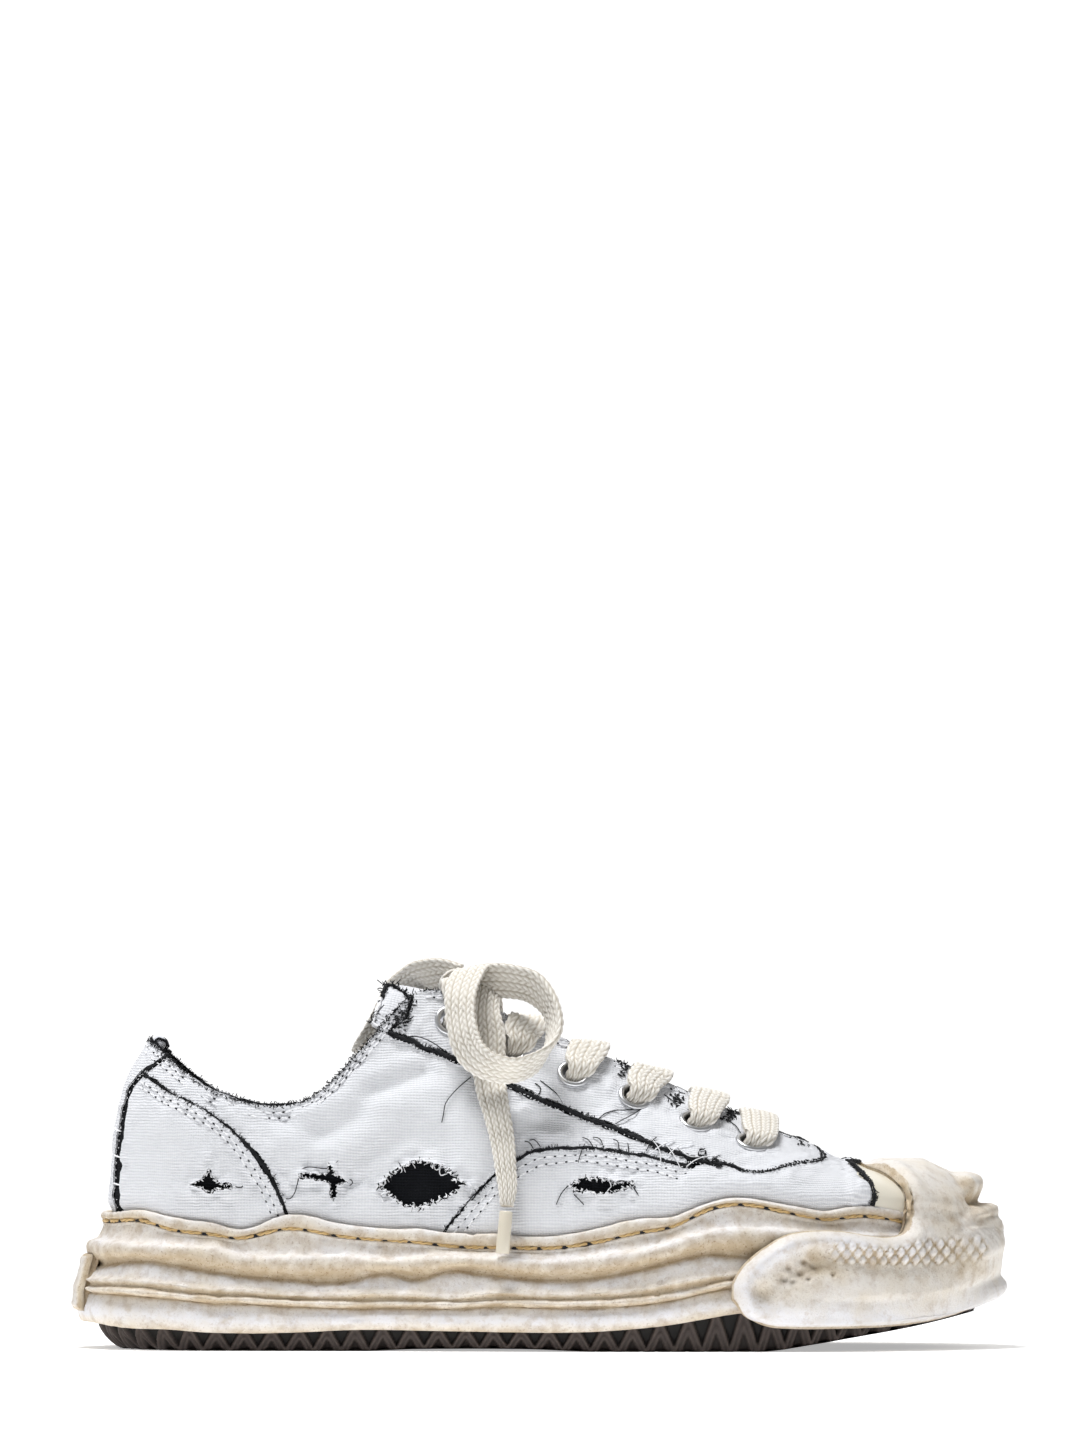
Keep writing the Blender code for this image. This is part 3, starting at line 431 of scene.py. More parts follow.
def set_up_studio():
    """Long lens level with the shoe's side; soft light from above and in front."""
    scene = bpy.context.scene
    scene.view_settings.view_transform = "Standard"
    away, picture_height, picture_middle = 3.5, 0.4851, 0.2089
    lens = bpy.data.cameras.new("camera")
    lens.sensor_width = 36
    lens.lens = 36 * away / picture_height
    lens.clip_end = 50
    scene.camera = stand("camera", lens, (0, -away, 0.105))
    look(scene.camera, (0, 0, picture_middle))

    world = bpy.data.worlds.new("studio")
    world.use_nodes = True
    scene.world = world
    tree = world.node_tree
    background = tree.nodes["Background"]
    lit = add(tree, "Background", {"Color": (1, 1, 1, 1), "Strength": 0.22})
    seen = add(tree, "LightPath", out="Is Camera Ray")
    background.inputs["Color"].default_value = (1, 1, 1, 1)
    background.inputs["Strength"].default_value = 1.1
    mix = add(tree, "MixShader", {0: seen, 1: lit, 2: background.outputs[0]})
    tree.links.new(mix, tree.nodes["World Output"].inputs["Surface"])

    for name, spot, size, power in (
        ("over", (-0.25, -0.08, 1.5), 0.5, 24.5),
        ("left", (-1.6, -1.1, 0.9), 0.8, 1.6),
        ("right", (1.7, -0.8, 0.9), 0.9, 0.9),
        ("behind", (0.3, 1.6, 1.1), 1.2, 4),
    ):
        light = bpy.data.lights.new(name, "AREA")
        light.shape = "SQUARE"
        light.size = size
        light.energy = power
        look(stand(name, light, spot), (0, 0, 0.05))

    # Matt white paper: evenly white, only a soft shadow under the shoe
    paper = plain("matt_paper", "FFFFFF", Roughness=0.9, Specular_IOR_Level=0.1,
        Emission_Color=colour("FFFFFF"), Emission_Strength=0.4)
    floor = bpy.data.meshes.new("paper_floor")
    floor.from_pydata([(-1.3, -1.2, 0), (1.3, -1.2, 0), (1.3, 0.42, 0), (-1.3, 0.42, 0)], [], [(0, 1, 2, 3)])
    floor.materials.append(paper)
    stand("paper_floor", floor)


set_up_studio()


# ---- the upper as a fine sheet

CLOTH_STEP, CLOTH_ROWS = 0.5, 141      # stations between columns, points up each column
TUCK = 5                             # how far the cloth goes down behind the lip


def surface_normals(points, closed=True):
    """Outward normals of a grid whose rows follow the stations."""
    along = np.roll(points, -1, 0) - np.roll(points, 1, 0) if closed else np.gradient(points, axis=0)
    return unit(np.cross(along, np.gradient(points, axis=1)))


# Soft folds of the set cloth, in the side view
FOLDS = table("x1 z1 x2 z2 rise wide", """
-60 84 -35 93 -1.3 3.4
-62 89 -42 97 0.8 3
-57 78 -30 87 1.1 4.4
-82 74 -60 86 0.9 3.6
-79 67 -57 80 -1.1 3.4
-92 78 -71 72 -0.9 3.2
-89 71 -69 65 1 3.8
-71 61 -50 75 0.9 4
-62 62 -44 70 -0.8 3.4
-67 55 -53 57 -1.3 2.6
-46 73 -28 65 -0.9 4.6
-40 80 -24 73 0.8 4
-122 82 -112 60 0.6 6
-130 70 -122 50 -0.6 5
-104 66 -92 50 -0.7 4
-20 56 4 46 -0.8 5
-6 78 21 72 -1.2 3.2
-3 72 18 69 0.8 2.8
-18 84 -4 74 0.8 3.6
16 84 44 72 -0.6 3.6
34 78 52 68 0.7 3.4
8 92 30 82 0.6 3.4
58 58 78 62 -0.9 3.6
66 54 88 58 0.8 3.6
76 53 97 57 -0.9 3.4
10 58 30 50 0.5 5
""")


def fold_relief(points):
    """Height of the soft folds, the same on both sides of the shoe."""
    x, z = points[..., 0], points[..., 2]
    total = np.zeros(x.shape)
    for fold in FOLDS:
        start, way = np.array([fold.x1, fold.z1]), np.array([fold.x2 - fold.x1, fold.z2 - fold.z1])
        length = norm(way)
        way = way / length
        run = (x - start[0]) * way[0] + (z - start[1]) * way[1]
        off = (x - start[0]) * way[1] - (z - start[1]) * way[0]
        ends = ease(-4, 5, run) * (1 - ease(length - 5, length + 4, run))
        total += fold.rise * ends * np.exp(-(off / fold.wide) ** 2)
    return total


def make_cloth():
    """Grid of the upper's face: points, normals and height above the lip."""
    stations = np.arange(0, TURN, CLOTH_STEP)
    lines = upper_lines(stations)
    lip = wall["lip"](x_at(stations, outline(stations) - lean(stations)))
    start = run_to(lines, lip - TUCK)
    grid = spread(lines, start, np.inf, CLOTH_ROWS)
    face = place(stations[:, None], grid[..., 0], grid[..., 1])
    above = grid[..., 1] - lip[:, None]
    normals = surface_normals(face)
    shown = ease(0, 9, above)
    relief = (0.5 * layered(face, 26, 2, 3) + 0.22 * layered(face, 9, 2, 5) + fold_relief(face)) * shown
    relief -= 0.9 * (1 - ease(-1, 3.5, above))
    face = face + normals * relief[..., None]
    return face, surface_normals(face), above


CLOTH, CLOTH_NORMAL, ABOVE_LIP = make_cloth()
CLOTH_GS = norm(np.roll(CLOTH, -1, 0) - np.roll(CLOTH, 1, 0), axis=2) / (2 * CLOTH_STEP)
CLOTH_GF = norm(np.gradient(CLOTH, axis=1), axis=2) * (CLOTH_ROWS - 1)


def at(grid, s, f):
    """Value of a grid of the cloth at (station, fraction of the way up)."""
    i = (np.asarray(s, float) % TURN) / CLOTH_STEP
    j = np.clip(f, 0, 1) * (CLOTH_ROWS - 1)
    i0, j0 = np.floor(i).astype(int) % len(grid), np.minimum(np.floor(j).astype(int), CLOTH_ROWS - 2)
    i1 = (i0 + 1) % len(grid)
    a, b = i - np.floor(i), j - j0
    if grid.ndim == 3:
        a, b = a[..., None], b[..., None]
    return ((grid[i0, j0] * (1 - a) + grid[i1, j0] * a) * (1 - b)
            + (grid[i0, j0 + 1] * (1 - a) + grid[i1, j0 + 1] * a) * b)


def on_cloth(s, f, lift=0):
    """Points in millimetres at a height above the cloth."""
    lift = np.asarray(lift, float)
    return at(CLOTH, s, f) + at(CLOTH_NORMAL, s, f) * (lift[..., None] if lift.ndim else lift)


def finder(side):
    """Looks up (station, fraction) from (x, z) in the side view, outer (-1) or inner side."""
    first = 0 if side < 0 else round(TIP / CLOTH_STEP)
    last = first + round(TIP / CLOTH_STEP)
    tree = KDTree((last - first) * CLOTH_ROWS)
    for i in range(first, last):
        for j in range(CLOTH_ROWS):
            tree.insert((CLOTH[i, j, 0], CLOTH[i, j, 2], 0), (i - first) * CLOTH_ROWS + j)
    tree.balance()

    def find(x, z):
        _, index, _ = tree.find((x, z, 0))
        i, j = divmod(index, CLOTH_ROWS)
        s, f = (i + first) * CLOTH_STEP, j / (CLOTH_ROWS - 1)
        here = at(CLOTH, s, f)
        by_s = (at(CLOTH, s + 0.5, f) - at(CLOTH, s - 0.5, f))[[0, 2]]
        step_f = 0.01
        by_f = (at(CLOTH, s, min(f + step_f, 1)) - at(CLOTH, s, max(f - step_f, 0)))[[0, 2]] / (2 * step_f)
        grid = stack(by_s, by_f)
        if abs(np.linalg.det(grid)) > 2:
            move = np.linalg.solve(grid, [x - here[0], z - here[2]])
            s, f = s + np.clip(move[0], -1, 1), f + np.clip(move[1], -0.02, 0.02)
        return s, f

    return find


FIND = {-1: finder(-1), 1: finder(1)}


def lie(line):
    """Points of a (station, fraction) line on the cloth."""
    return on_cloth(line[:, 0], line[:, 1])


def even(line, step):
    """A line of (station, fraction) points evenly spaced in millimetres."""
    line = np.asarray(line, float)
    points = lie(line)
    run = run_of(points)
    count = max(round(run[-1] / step), 1)
    ats = np.linspace(0, run[-1], count + 1)
    return sampled(line, run, ats)


def way_along(line):
    """The line's way in millimetres, along and up the cloth, and the cloth's size there in each direction."""
    size = stack(at(CLOTH_GS, *line.T[:2]), at(CLOTH_GF, *line.T[:2]))
    return np.gradient(line[:, :2], axis=0) * size, size


def beside(line, distance):
    """The line moved sideways on the cloth, to the left for a positive distance."""
    line = np.asarray(line, float)
    way, size = way_along(line)
    way = unit(way)
    return line[:, :2] + stack(-way[:, 1], way[:, 0]) * distance / size


def smooth_through(rows, step=1):
    """Smooth, evenly spaced line through rows of (station, fraction, more...)."""
    rows = np.asarray(rows, float)
    points = lie(rows)
    run = run_of(points)
    columns = [curve(list(zip(run, rows[:, k]))) for k in range(rows.shape[1])]
    ats = np.linspace(0, run[-1], max(round(run[-1] / 0.5), 2))
    return even(np.stack([values(ats) for values in columns], 1), step)


# Seams in the side view, where raw edges leave the dark cloth showing
def seam(text):
    return table("x z gap", text)


STRIPE_TOP = seam("-122.6 98.9 2; -127.6 94.7 2.4; -132.1 91.6 2.6")
STRIPE = seam("""-132.1 91.6 2.6; -135 88.2 3.4; -137.2 84 4.6; -138.9 75.9 5.6; -140.2 66.7 6.4
-140.9 57.5 6.6; -140.8 50 6.6; -140.4 44 6.4""")
HEEL_SEAM = seam("""-132.1 91.2 0.6; -128.2 89.1 0.7; -123.6 85.8 0.6; -117 82.2 0.5; -109.1 77.9 0.6
-102.5 72.9 0.7; -97.2 68 1.1; -93.3 63.4 1.4; -89.3 57.4 1.4; -86.7 52.2 1; -84.1 45.6 0.8; -82.6 40 0.8""")
STAY_REAR = seam("-42.2 119.6 0.7; -42.9 115.5 0.8; -44.9 109.5 0.9; -50.6 105 1.2")
STAY_LOW = seam("""-50.6 105 1.2; -39.9 100.4 2; -32.8 98 2.2; -25 94.7 2.3; -9.6 87 2.2; 1.8 81.9 2.5
7.7 79.8 2.4; 19.6 75.1 2.3; 31.5 70.3 2.1; 37.5 67.6 2; 45.6 64.8 2.6; 50.2 62.8 2.9""")
STAY_FRONT = seam("""50.2 62.8 2.9; 56.4 61.5 2.3; 62 61 1.6; 66.1 59.2 1; 72.2 58.3 0.5; 77.3 59.2 0.4
81.4 60.3 0.3; 86.5 61.3 0.15""")
VAMP_SEAM = seam("""-34.5 35 0.4; -31.6 39.7 0.4; -25.6 46.8 0.45; -19.7 53.4 0.5; -14.9 58.1 0.6
-6.6 63.5 0.8; -1.8 65.9 0.8; 7.7 66.9 0.7; 19.6 66.6 0.7; 31.5 64.7 0.8; 41 62.7 1; 50.2 60.6 1.2""")
TOE_EDGE = seam("108.6 43 0.5; 109 48.5 0.5; 109.2 52.1 0.8; 106 56.6 0.9; 102.6 60 0.6")


def on_side(rows, side):
    """A seam's points as (station, fraction, gap) on one side of the shoe."""
    return [(*FIND[side](row.x, row.z), row.gap) for row in rows]


def over_toe(rows, ridge_x, ridge_gap):
    """A seam that runs over the ridge of the toe to the other side."""
    tip = CLOTH[round(TIP / CLOTH_STEP)]
    ridge = float(np.interp(-ridge_x, -tip[:, 0], np.linspace(0, 1, CLOTH_ROWS)))
    return smooth_through(on_side(rows, -1) + [(TIP, ridge, ridge_gap)] + on_side(rows, 1)[::-1])


# ---- cutting panels out of the cloth

PANEL_STEP, PANEL_ROWS = 0.85, 84      # grid that the panels are cut from

# Outlines of the tears in the side view, with their side and strength
TEARS = (
    (-1, 1, table("x z", """-116 54.7; -114 55.6; -112 56.7; -110.4 58.4; -109.6 60.1; -108.9 57.8
-107.6 56.1; -105.1 55.1; -102.4 55.1; -102.2 53.6; -104.5 53.6; -107.1 53.8; -108.5 52.8; -110.4 52.6
-111.7 53.9; -114.3 54.3""")),
    (-1, 0.9, table("x z", """-80.2 58.1; -77.5 58.8; -74.2 58.4; -70.9 58.2; -69.9 59.1; -70.1 61.9
-68.9 61.3; -68.3 58.6; -66.8 57.8; -63.9 56.5; -65.6 55.5; -67.5 55.1; -67.6 52.8; -67.5 50.9; -68.8 49.1
-69.5 52.2; -69.9 55.3; -72.2 56.1; -76.1 56.8; -78.8 57.1""")),
    (-1, 1.4, table("x z", """-52.6 54.5; -49.6 57.8; -46.6 59.7; -43.2 61.2; -39.9 62.3; -36.2 61.5
-32.9 60.8; -30.2 59.2; -27.9 56.5; -24.9 55.3; -27.2 52.8; -30.6 51; -34.2 49.3; -39.6 47.5; -44.2 47.8
-47.9 50; -50.6 52.5""")),
    (-1, 1.2, table("x z", """10.4 54.2; 12.8 56; 14 57; 16.3 56.6; 19.6 56.5; 22.3 56.2; 24.7 55
28.5 55.6; 30.9 55.3; 30.8 54.2; 27.9 53.2; 24.4 52.3; 20.2 51.8; 16.6 52.4; 12.8 52.9""")),
    (1, 1.1, table("x z", """-108 57; -104 58.6; -99 58.9; -95.2 57.2; -98.4 55.6; -102 54.6
-105.4 55.2""")),
    (1, 1.3, table("x z", "-46 58; -41 61; -35 61.6; -29 59.6; -25.5 57.2; -30 54.4; -36 53; -42 54.6")),
)

EYELETS = table("x up", "70 67.8; 51.3 74.8; 31 83.2; 11 90.8; -9.4 99.5; -29.7 108.8")
EYELET_HOLE = 4.3
# Dark cloth that shows above the panels along the topline, by x
RAW_EDGE = curve([(-135, 0.8), (-122, 0.9), (-112, 0.1), (-98, 0), (-94, 0.6), (-84, 0.9), (-52, 1.1),
    (-45, 0.6), (0, 0.4), (60, 0.4), (86, 0.9)])


def nearest(points, line):
    """Distance of each point to a line of points, and the nearest one's number."""
    distance, number = np.empty(len(points)), np.empty(len(points), int)
    for start in range(0, len(points), 6000):
        chunk = points[start:start + 6000]
        square = ((chunk[:, None, :] - line[None]) ** 2).sum(2)
        number[start:start + 6000] = square.argmin(1)
        distance[start:start + 6000] = np.sqrt(square.min(1))
    return distance, number


def inside(points, loop):
    """Which of the 2-D points lie inside a closed loop."""
    x, y = points[:, 0], points[:, 1]
    found = np.zeros(len(points), bool)
    for (x1, y1), (x2, y2) in zip(loop, np.roll(loop, -1, 0)):
        if y1 != y2:
            found ^= ((y1 > y) != (y2 > y)) & (x < (x2 - x1) * (y - y1) / (y2 - y1) + x1)
    return found


def outside_by(points, loop):
    """Distance outside a closed 2-D loop, negative inside it."""
    best = np.full(len(points), np.inf)
    for a, b in zip(loop, np.roll(loop, -1, 0)):
        way = b - a
        t = np.clip(((points - a) @ way) / (way @ way), 0, 1)
        best = np.minimum(best, norm(points - a - t[:, None] * way, axis=1))
    return np.where(inside(points, loop), -best, best)


def trimmed(value):
    """Cells of a grid where value is above zero, with their border cut to the zero line.

    Returns the points as (row, column) numbers with parts, and the faces."""
    kept = value > 0
    number = np.full(value.shape, -1)
    number[kept] = np.arange(kept.sum())
    points = [np.argwhere(kept).astype(float)]
    total = len(points[0])
    crossing = []
    for axis in (0, 1):
        a = value[:-1] if axis == 0 else value[:, :-1]
        b = value[1:] if axis == 0 else value[:, 1:]
        cut = (a > 0) != (b > 0)
        ids = np.full(a.shape, -1)
        ids[cut] = total + np.arange(cut.sum())
        total += cut.sum()
        spots = np.argwhere(cut).astype(float)
        spots[:, axis] += np.clip(a[cut] / (a[cut] - b[cut]), 0.1, 0.9)
        points.append(spots)
        crossing.append(ids)
    across_rows, across_columns = crossing
    whole = kept[:-1, :-1] & kept[1:, :-1] & kept[1:, 1:] & kept[:-1, 1:]
    i, j = np.nonzero(whole)
    faces = np.stack([number[i, j], number[i + 1, j], number[i + 1, j + 1], number[i, j + 1]], 1).tolist()
    part = (kept[:-1, :-1] | kept[1:, :-1] | kept[1:, 1:] | kept[:-1, 1:]) & ~whole
    for i, j in np.argwhere(part):
        corners = ((i, j), (i + 1, j), (i + 1, j + 1), (i, j + 1))
        sides = (across_rows[i, j], across_columns[i + 1, j], across_rows[i, j + 1], across_columns[i, j])
        walk = []
        for k in range(4):
            if kept[corners[k]]:
                walk.append(int(number[corners[k]]))
            if sides[k] >= 0:
                walk.append(int(sides[k]))
        if len(walk) > 2:
            faces.append(walk)
    return np.concatenate(points), faces


def cut_cloth(low, high, step, rows, value_at):
    """Stations, fractions and faces of the cloth where value_at is above zero."""
    stations = np.arange(low, high + 0.1, step)
    s, f = (grid.ravel() for grid in np.meshgrid(stations, np.linspace(0, 1, rows), indexing="ij"))
    spots, faces = trimmed(value_at(on_cloth(s, f), s, f).reshape(len(stations), rows))
    return low + spots[:, 0] * step, spots[:, 1] / (rows - 1), faces


# Place of every eyelet, named by pair and side
EYELET_SPOTS = {f"{pair}_{word}": FIND[side](row.x, row.up) for pair, row in enumerate(EYELETS, 1)
    for side, word in ((-1, "outer"), (1, "inner"))}
EYELET_POINTS = np.array([on_cloth(*spot) for spot in EYELET_SPOTS.values()])


def lines_of(side):
    rows = {"stripe_top": STRIPE_TOP, "stripe": STRIPE, "heel": HEEL_SEAM, "vamp": VAMP_SEAM}
    return {name: smooth_through(on_side(seam, side), 0.5) for name, seam in rows.items()}


def unwrapped(line):
    """The same line with stations past the turn counted below zero."""
    line = np.array(line)
    line[:, 0] = np.where(line[:, 0] > TURN / 2, line[:, 0] - TURN, line[:, 0])
    return line


OUTER, INNER = lines_of(-1), lines_of(1)
STAY = over_toe(STAY_REAR + STAY_LOW[1:] + STAY_FRONT[1:], 91.5, 0.15)
STAY = even(STAY, 0.5)
TOE_LINE = even(over_toe(TOE_EDGE, 105.6, 1), 0.5)


def near_row(line, row, side):
    """Number of the point of a line nearest to a seam's row."""
    return int(nearest(on_cloth(*FIND[side](row.x, row.z))[None], lie(line))[1][0])


STAY_JOIN = near_row(STAY, STAY_LOW[-1], -1), near_row(STAY, STAY_LOW[-1], 1)


def reaches(line, first=None, last=None):
    """Loop points of a line, drawn on past the hem or the topline."""
    points = [tuple(row[:2]) for row in line]
    if first is not None:
        points.insert(0, (points[0][0], first))
    if last is not None:
        points.append((points[-1][0], last))
    return points


def panel_plan():
    """Loop and border seams of each panel, all in (station, fraction)."""
    plan = {}
    low, high = -0.2, 1.2
    for word, lines, stay in (("outer", OUTER, STAY[:STAY_JOIN[0] + 1]),
            ("inner", INNER, STAY[STAY_JOIN[1]:][::-1])):
        plan["heel_" + word] = (reaches(lines["stripe"], last=low) + reaches(lines["heel"], last=low)[::-1],
            [lines["stripe"], lines["heel"]])
        plan["quarter_" + word] = (reaches(lines["stripe_top"], first=high) + reaches(lines["heel"],
            last=low) + reaches(lines["vamp"], first=low) + reaches(stay, first=high)[::-1],
            [lines["stripe_top"], lines["heel"], lines["vamp"], stay])
    plan["eyestay"] = (reaches(STAY, first=high, last=high), [STAY])
    front = STAY[STAY_JOIN[0]:STAY_JOIN[1] + 1]
    plan["vamp"] = (
        reaches(OUTER["vamp"], first=low) + reaches(front) + reaches(INNER["vamp"], first=low)[::-1]
        + reaches(TOE_LINE, first=low, last=low)[::-1],
        [OUTER["vamp"], front, INNER["vamp"], TOE_LINE])
    outer, inner = [[unwrapped(part) for part in (lines["stripe_top"], lines["stripe"])]
        for lines in (OUTER, INNER)]
    plan["back"] = (reaches(outer[0], first=high) + reaches(outer[1], last=low)
        + (reaches(inner[0], first=high) + reaches(inner[1], last=low))[::-1], outer + inner)
    return plan


PLAN = panel_plan()


def torn(points, s):
    """Strength of each tear, with the distance outside it in the side view on its side of the shoe."""
    for side, strength, tear in TEARS:
        near = (s % TURN < TIP) == (side < 0)
        yield strength, np.where(near, outside_by(points[:, [0, 2]], np.array(tear)), 99)


def cloth_value(points, s, f, loop, seams, tears=True):
    """Distance to the nearest edge of a panel, positive where there is cloth."""
    value = np.full(len(points), np.inf)
    for line in seams:
        distance, number = nearest(points, lie(line))
        value = np.minimum(value, distance - line[number, 2] / 2 * (1 + 0.7 * noise(points, 3.2, 10)))
    value = np.where(inside(stack(s, f), np.array(loop)), value, -np.abs(value) - 0.1)
    rim = (1 - f) * at(CLOTH_GF, s, f) - RAW_EDGE(points[:, 0]) - 0.5 * noise(points, 3, 4)
    value = np.minimum(value, rim)
    value -= 0.3 * np.abs(noise(points, 1.1, 8)) + 0.2 * noise(points, 2.6, 9)
    value = np.minimum(value, nearest(points, EYELET_POINTS)[0] - EYELET_HOLE)
    for strength, away in torn(points, s) if tears else ():
        value = np.minimum(value, away - (strength - 0.1) * np.abs(noise(points, 1.5, 11)))
    return value


CLOTH_ARC = np.concatenate([np.zeros((len(CLOTH), 1)), np.cumsum(norm(np.diff(CLOTH, axis=1), axis=2), 1)],
    1) + CLOTH[:, :1, 2]

# Height of each panel: the stay and the heel panel lie over the quarter
LIFTS = {"back": 0.55, "heel": 0.95, "quarter": 0.55, "eyestay": 0.9, "vamp": 0.75}
CANVAS_THICK = 0.6


def free_edges(faces):
    """Edges with one face, in the face's direction."""
    seen = dict.fromkeys((a, b) for face in faces for a, b in zip(face, list(face[1:]) + [face[0]]))
    return [(a, b) for a, b in seen if (b, a) not in seen]


def with_edge(points, faces, normals, thick):
    """The sheet with its cut edges turned in, and the number of each point's first place."""
    edges = free_edges(faces)
    ring = sorted({a for edge in edges for a in edge})
    number = {a: len(points) + k for k, a in enumerate(ring)}
    faces = faces + [[a, number[a], number[b], b][::-1] for a, b in edges]
    return np.concatenate([points, points[ring] - normals[ring] * thick]), faces, [*range(len(points)), *ring]


def shell(name, base, normals, lift, thick, material, slot, fields, replaces):
    """A piece lifted off a grid of points, with its edges turned in."""
    points = (base + normals * lift[..., None]).reshape(-1, 3)
    faces = sheet_faces(*lift.shape).tolist()
    points, faces, order = with_edge(points, faces, normals.reshape(-1, 3), thick)
    fields = {key: values.ravel()[order] for key, values in fields.items()}
    piece(name, points, faces, material, slot, [replaces], fields=fields)


def rounded(edge, radius):
    """Quarter-round rise from an edge, from 0 to 1."""
    return np.sqrt(np.clip(1 - (1 - np.minimum(edge / radius, 1)) ** 2, 0, 1))


def canvas_lift(points, s, value, base):
    """Height of a panel above the upper, with puckers along its stitched edges."""
    hem = np.exp(-((value - 3.6) / 2.8) ** 2)
    pucker = noise(points, 4, 21) * 0.75 + noise(points, 2, 22) * 0.34
    tear = np.min([away for _, away in torn(points, s)], 0)
    curl = 1.7 * np.exp(-np.maximum(tear, 0) / 1.5) * np.clip(0.55 + 0.9 * noise(points, 2.2, 23), 0, 2)
    gather = 0.75 * np.exp(-((tear - 3.2) / 2.8) ** 2) * noise(points, 2.6, 24)
    return base + hem * pucker + curl + gather + 0.06 * noise(points, 1.2, 25)


def canvas_panel(name, loop, seams, base):
    """One panel of canvas cut from the cloth, with its edge turned in."""
    ends = np.array(loop)[:, 0]
    s, f, faces = cut_cloth(np.floor(ends.min()) - 1, np.ceil(ends.max()) + 1, PANEL_STEP, PANEL_ROWS,
        lambda points, s, f: cloth_value(points, s, f, loop, seams))
    flat = on_cloth(s, f)
    edge = np.clip(cloth_value(flat, s, f, loop, seams, False), 0, 20)
    lift = canvas_lift(flat, s, edge, base)
    normals = at(CLOTH_NORMAL, s, f)
    above = at(ABOVE_LIP, s, f)
    lift = lift * ease(-1.5, 2.5, above)
    if name == "vamp":
        lift += 1.3 * ease(100.5, 103.5, flat[:, 0])
    points = flat + normals * lift[:, None]
    points, faces, order = with_edge(points, faces, normals, CANVAS_THICK)
    uv = stack(s, at(CLOTH_ARC, s, f))[order]
    piece("canvas_" + name, points, faces, WHITE_CANVAS, uv=uv)


def welded(points, faces):
    """The same mesh with points at one place made into one."""
    _, first, same = np.unique(np.round(points / 1e-4).astype(np.int64), axis=0, return_index=True,
        return_inverse=True)
    same = same.ravel()
    joined = [list(dict.fromkeys(int(same[a]) for a in face)) for face in faces]
    return first, [face for face in joined if len(face) > 2]


def base_cloth():
    """The dark cloth under the canvas, with the lining inside and a raw top edge."""
    def value_at(points, s, f):
        value = (1 - f) * at(CLOTH_GF, s, f) - 0.02 - 0.5 * np.abs(noise(points, 1.7, 31))
        return np.minimum(value, nearest(points, EYELET_POINTS)[0] - EYELET_HOLE + 0.2)

    s, f, faces = cut_cloth(0, TURN, 2.4, 49, value_at)
    first, faces = welded(on_cloth(s, f), faces)
    s, f = s[first], f[first]
    normals = at(CLOTH_NORMAL, s, f)
    top = np.exp(-(1 - f) * at(CLOTH_GF, s, f) / 1.2)
    face = on_cloth(s, f)
    lift = -0.35 + 0.12 * layered(face, 3, 2, 33) + 0.35 * top * noise(face, 1.8, 34)
    outer = face + normals * lift[:, None]
    inner = face - normals * 1.9
    count = len(outer)
    edges = free_edges(faces)
    faces = faces + [[a + count for a in face[::-1]] for face in faces] + [[b, a, a + count, b + count]
        for a, b in edges]
    uv = stack(s, at(CLOTH_ARC, s, f))
    piece("base_cloth", np.concatenate([outer, inner]), faces, BLACK_CLOTH, "canvas", ["upper"],
        np.concatenate([uv, uv]))


# ---- finishes

RGBA = {"out": 2, "data_type": "RGBA"}


def aged_rubber():
    """Cream moulded rubber, patinated: soft satin, a tan stain with painted shade in the creases, and a
    painted highlight on the crests.
    """
    material, node = finish_of("aged_moulded_rubber", Roughness=0.52, IOR=1.52, Specular_IOR_Level=0.4)
    spot = node("TexCoord", out="Object")
    fields = {name: node("Attribute", out="Fac", attribute_name=name) for name in ("tan", "white")}
    # Stains and the painted shade and highlight are mottled in patches 12 mm and 4 mm across; pores are 0.5
    # mm and drawn at 0.8 mm so that they show
    clouds = {size: node("TexNoise", {"Vector": spot, "Scale": 1000 / size, "Detail": 4, "Roughness": 0.6})
              for size in (12, 4, 0.8, 0.45)}
    tint = colour("E6E1DA")
    # The white field paints a bluish highlight on the crests; the tan field paints a tan stain mixed with
    # painted shade in the creases and hollows
    for field, cloud, gain, shift, top, code in (
        ("white", 4, 1.6, -0.75, 0.8, "E9E9EE"),
        ("tan", 12, 2, -0.95, 0.72, "D3C3A6"),
        ("tan", 4, 3, -1.6, 0.66, "AC9470"),
    ):
        mottle = node("Math", {0: clouds[cloud], 1: gain, 2: shift}, operation="MULTIPLY_ADD")
        mottle = node("Math", {0: mottle, 1: fields[field]}, operation="ADD", use_clamp=True)
        mottle = node("Math", {0: mottle, 1: top}, operation="MULTIPLY", use_clamp=True)
        tint = node("Mix", {0: mottle, 6: tint, 7: colour(code)}, **RGBA)
    pores = node("MapRange", {"Value": clouds[0.8], "From Min": 0.57, "From Max": 0.68})
    # Pores show darker where the tan field paints stain and shade
    pore_stain_and_shade = node("Math", {0: fields["tan"], 1: 0.7, 2: 0.12}, operation="MULTIPLY_ADD")
    pores = node("Math", {0: pores, 1: pore_stain_and_shade}, operation="MULTIPLY")
    tint = node("Mix", {0: pores, 6: tint, 7: colour("8A6B48")}, **RGBA)
    grain = node("Bump", {"Height": clouds[0.8], "Strength": 0.55, "Distance": 0.0004})
    grain = node("Bump", {"Height": clouds[0.45], "Strength": 0.4, "Distance": 0.0003, "Normal": grain})
    return finished(material, tint, grain)


def smooth_rubber():
    """Pressed ivory rubber of the toe cap: even and slightly glossy."""
    material, node = finish_of("smooth_pressed_rubber", Roughness=0.36, IOR=1.52, Coat_Weight=0.12,
        Coat_Roughness=0.3)
    spot = node("TexCoord", out="Object")
    cloud = node("TexNoise", {"Vector": spot, "Scale": 1000 / 14, "Detail": 3})
    tint = node("Mix", {0: cloud, 6: colour("EBE6D8"), 7: colour("E1DAC9")}, **RGBA)
    return finished(material, tint)


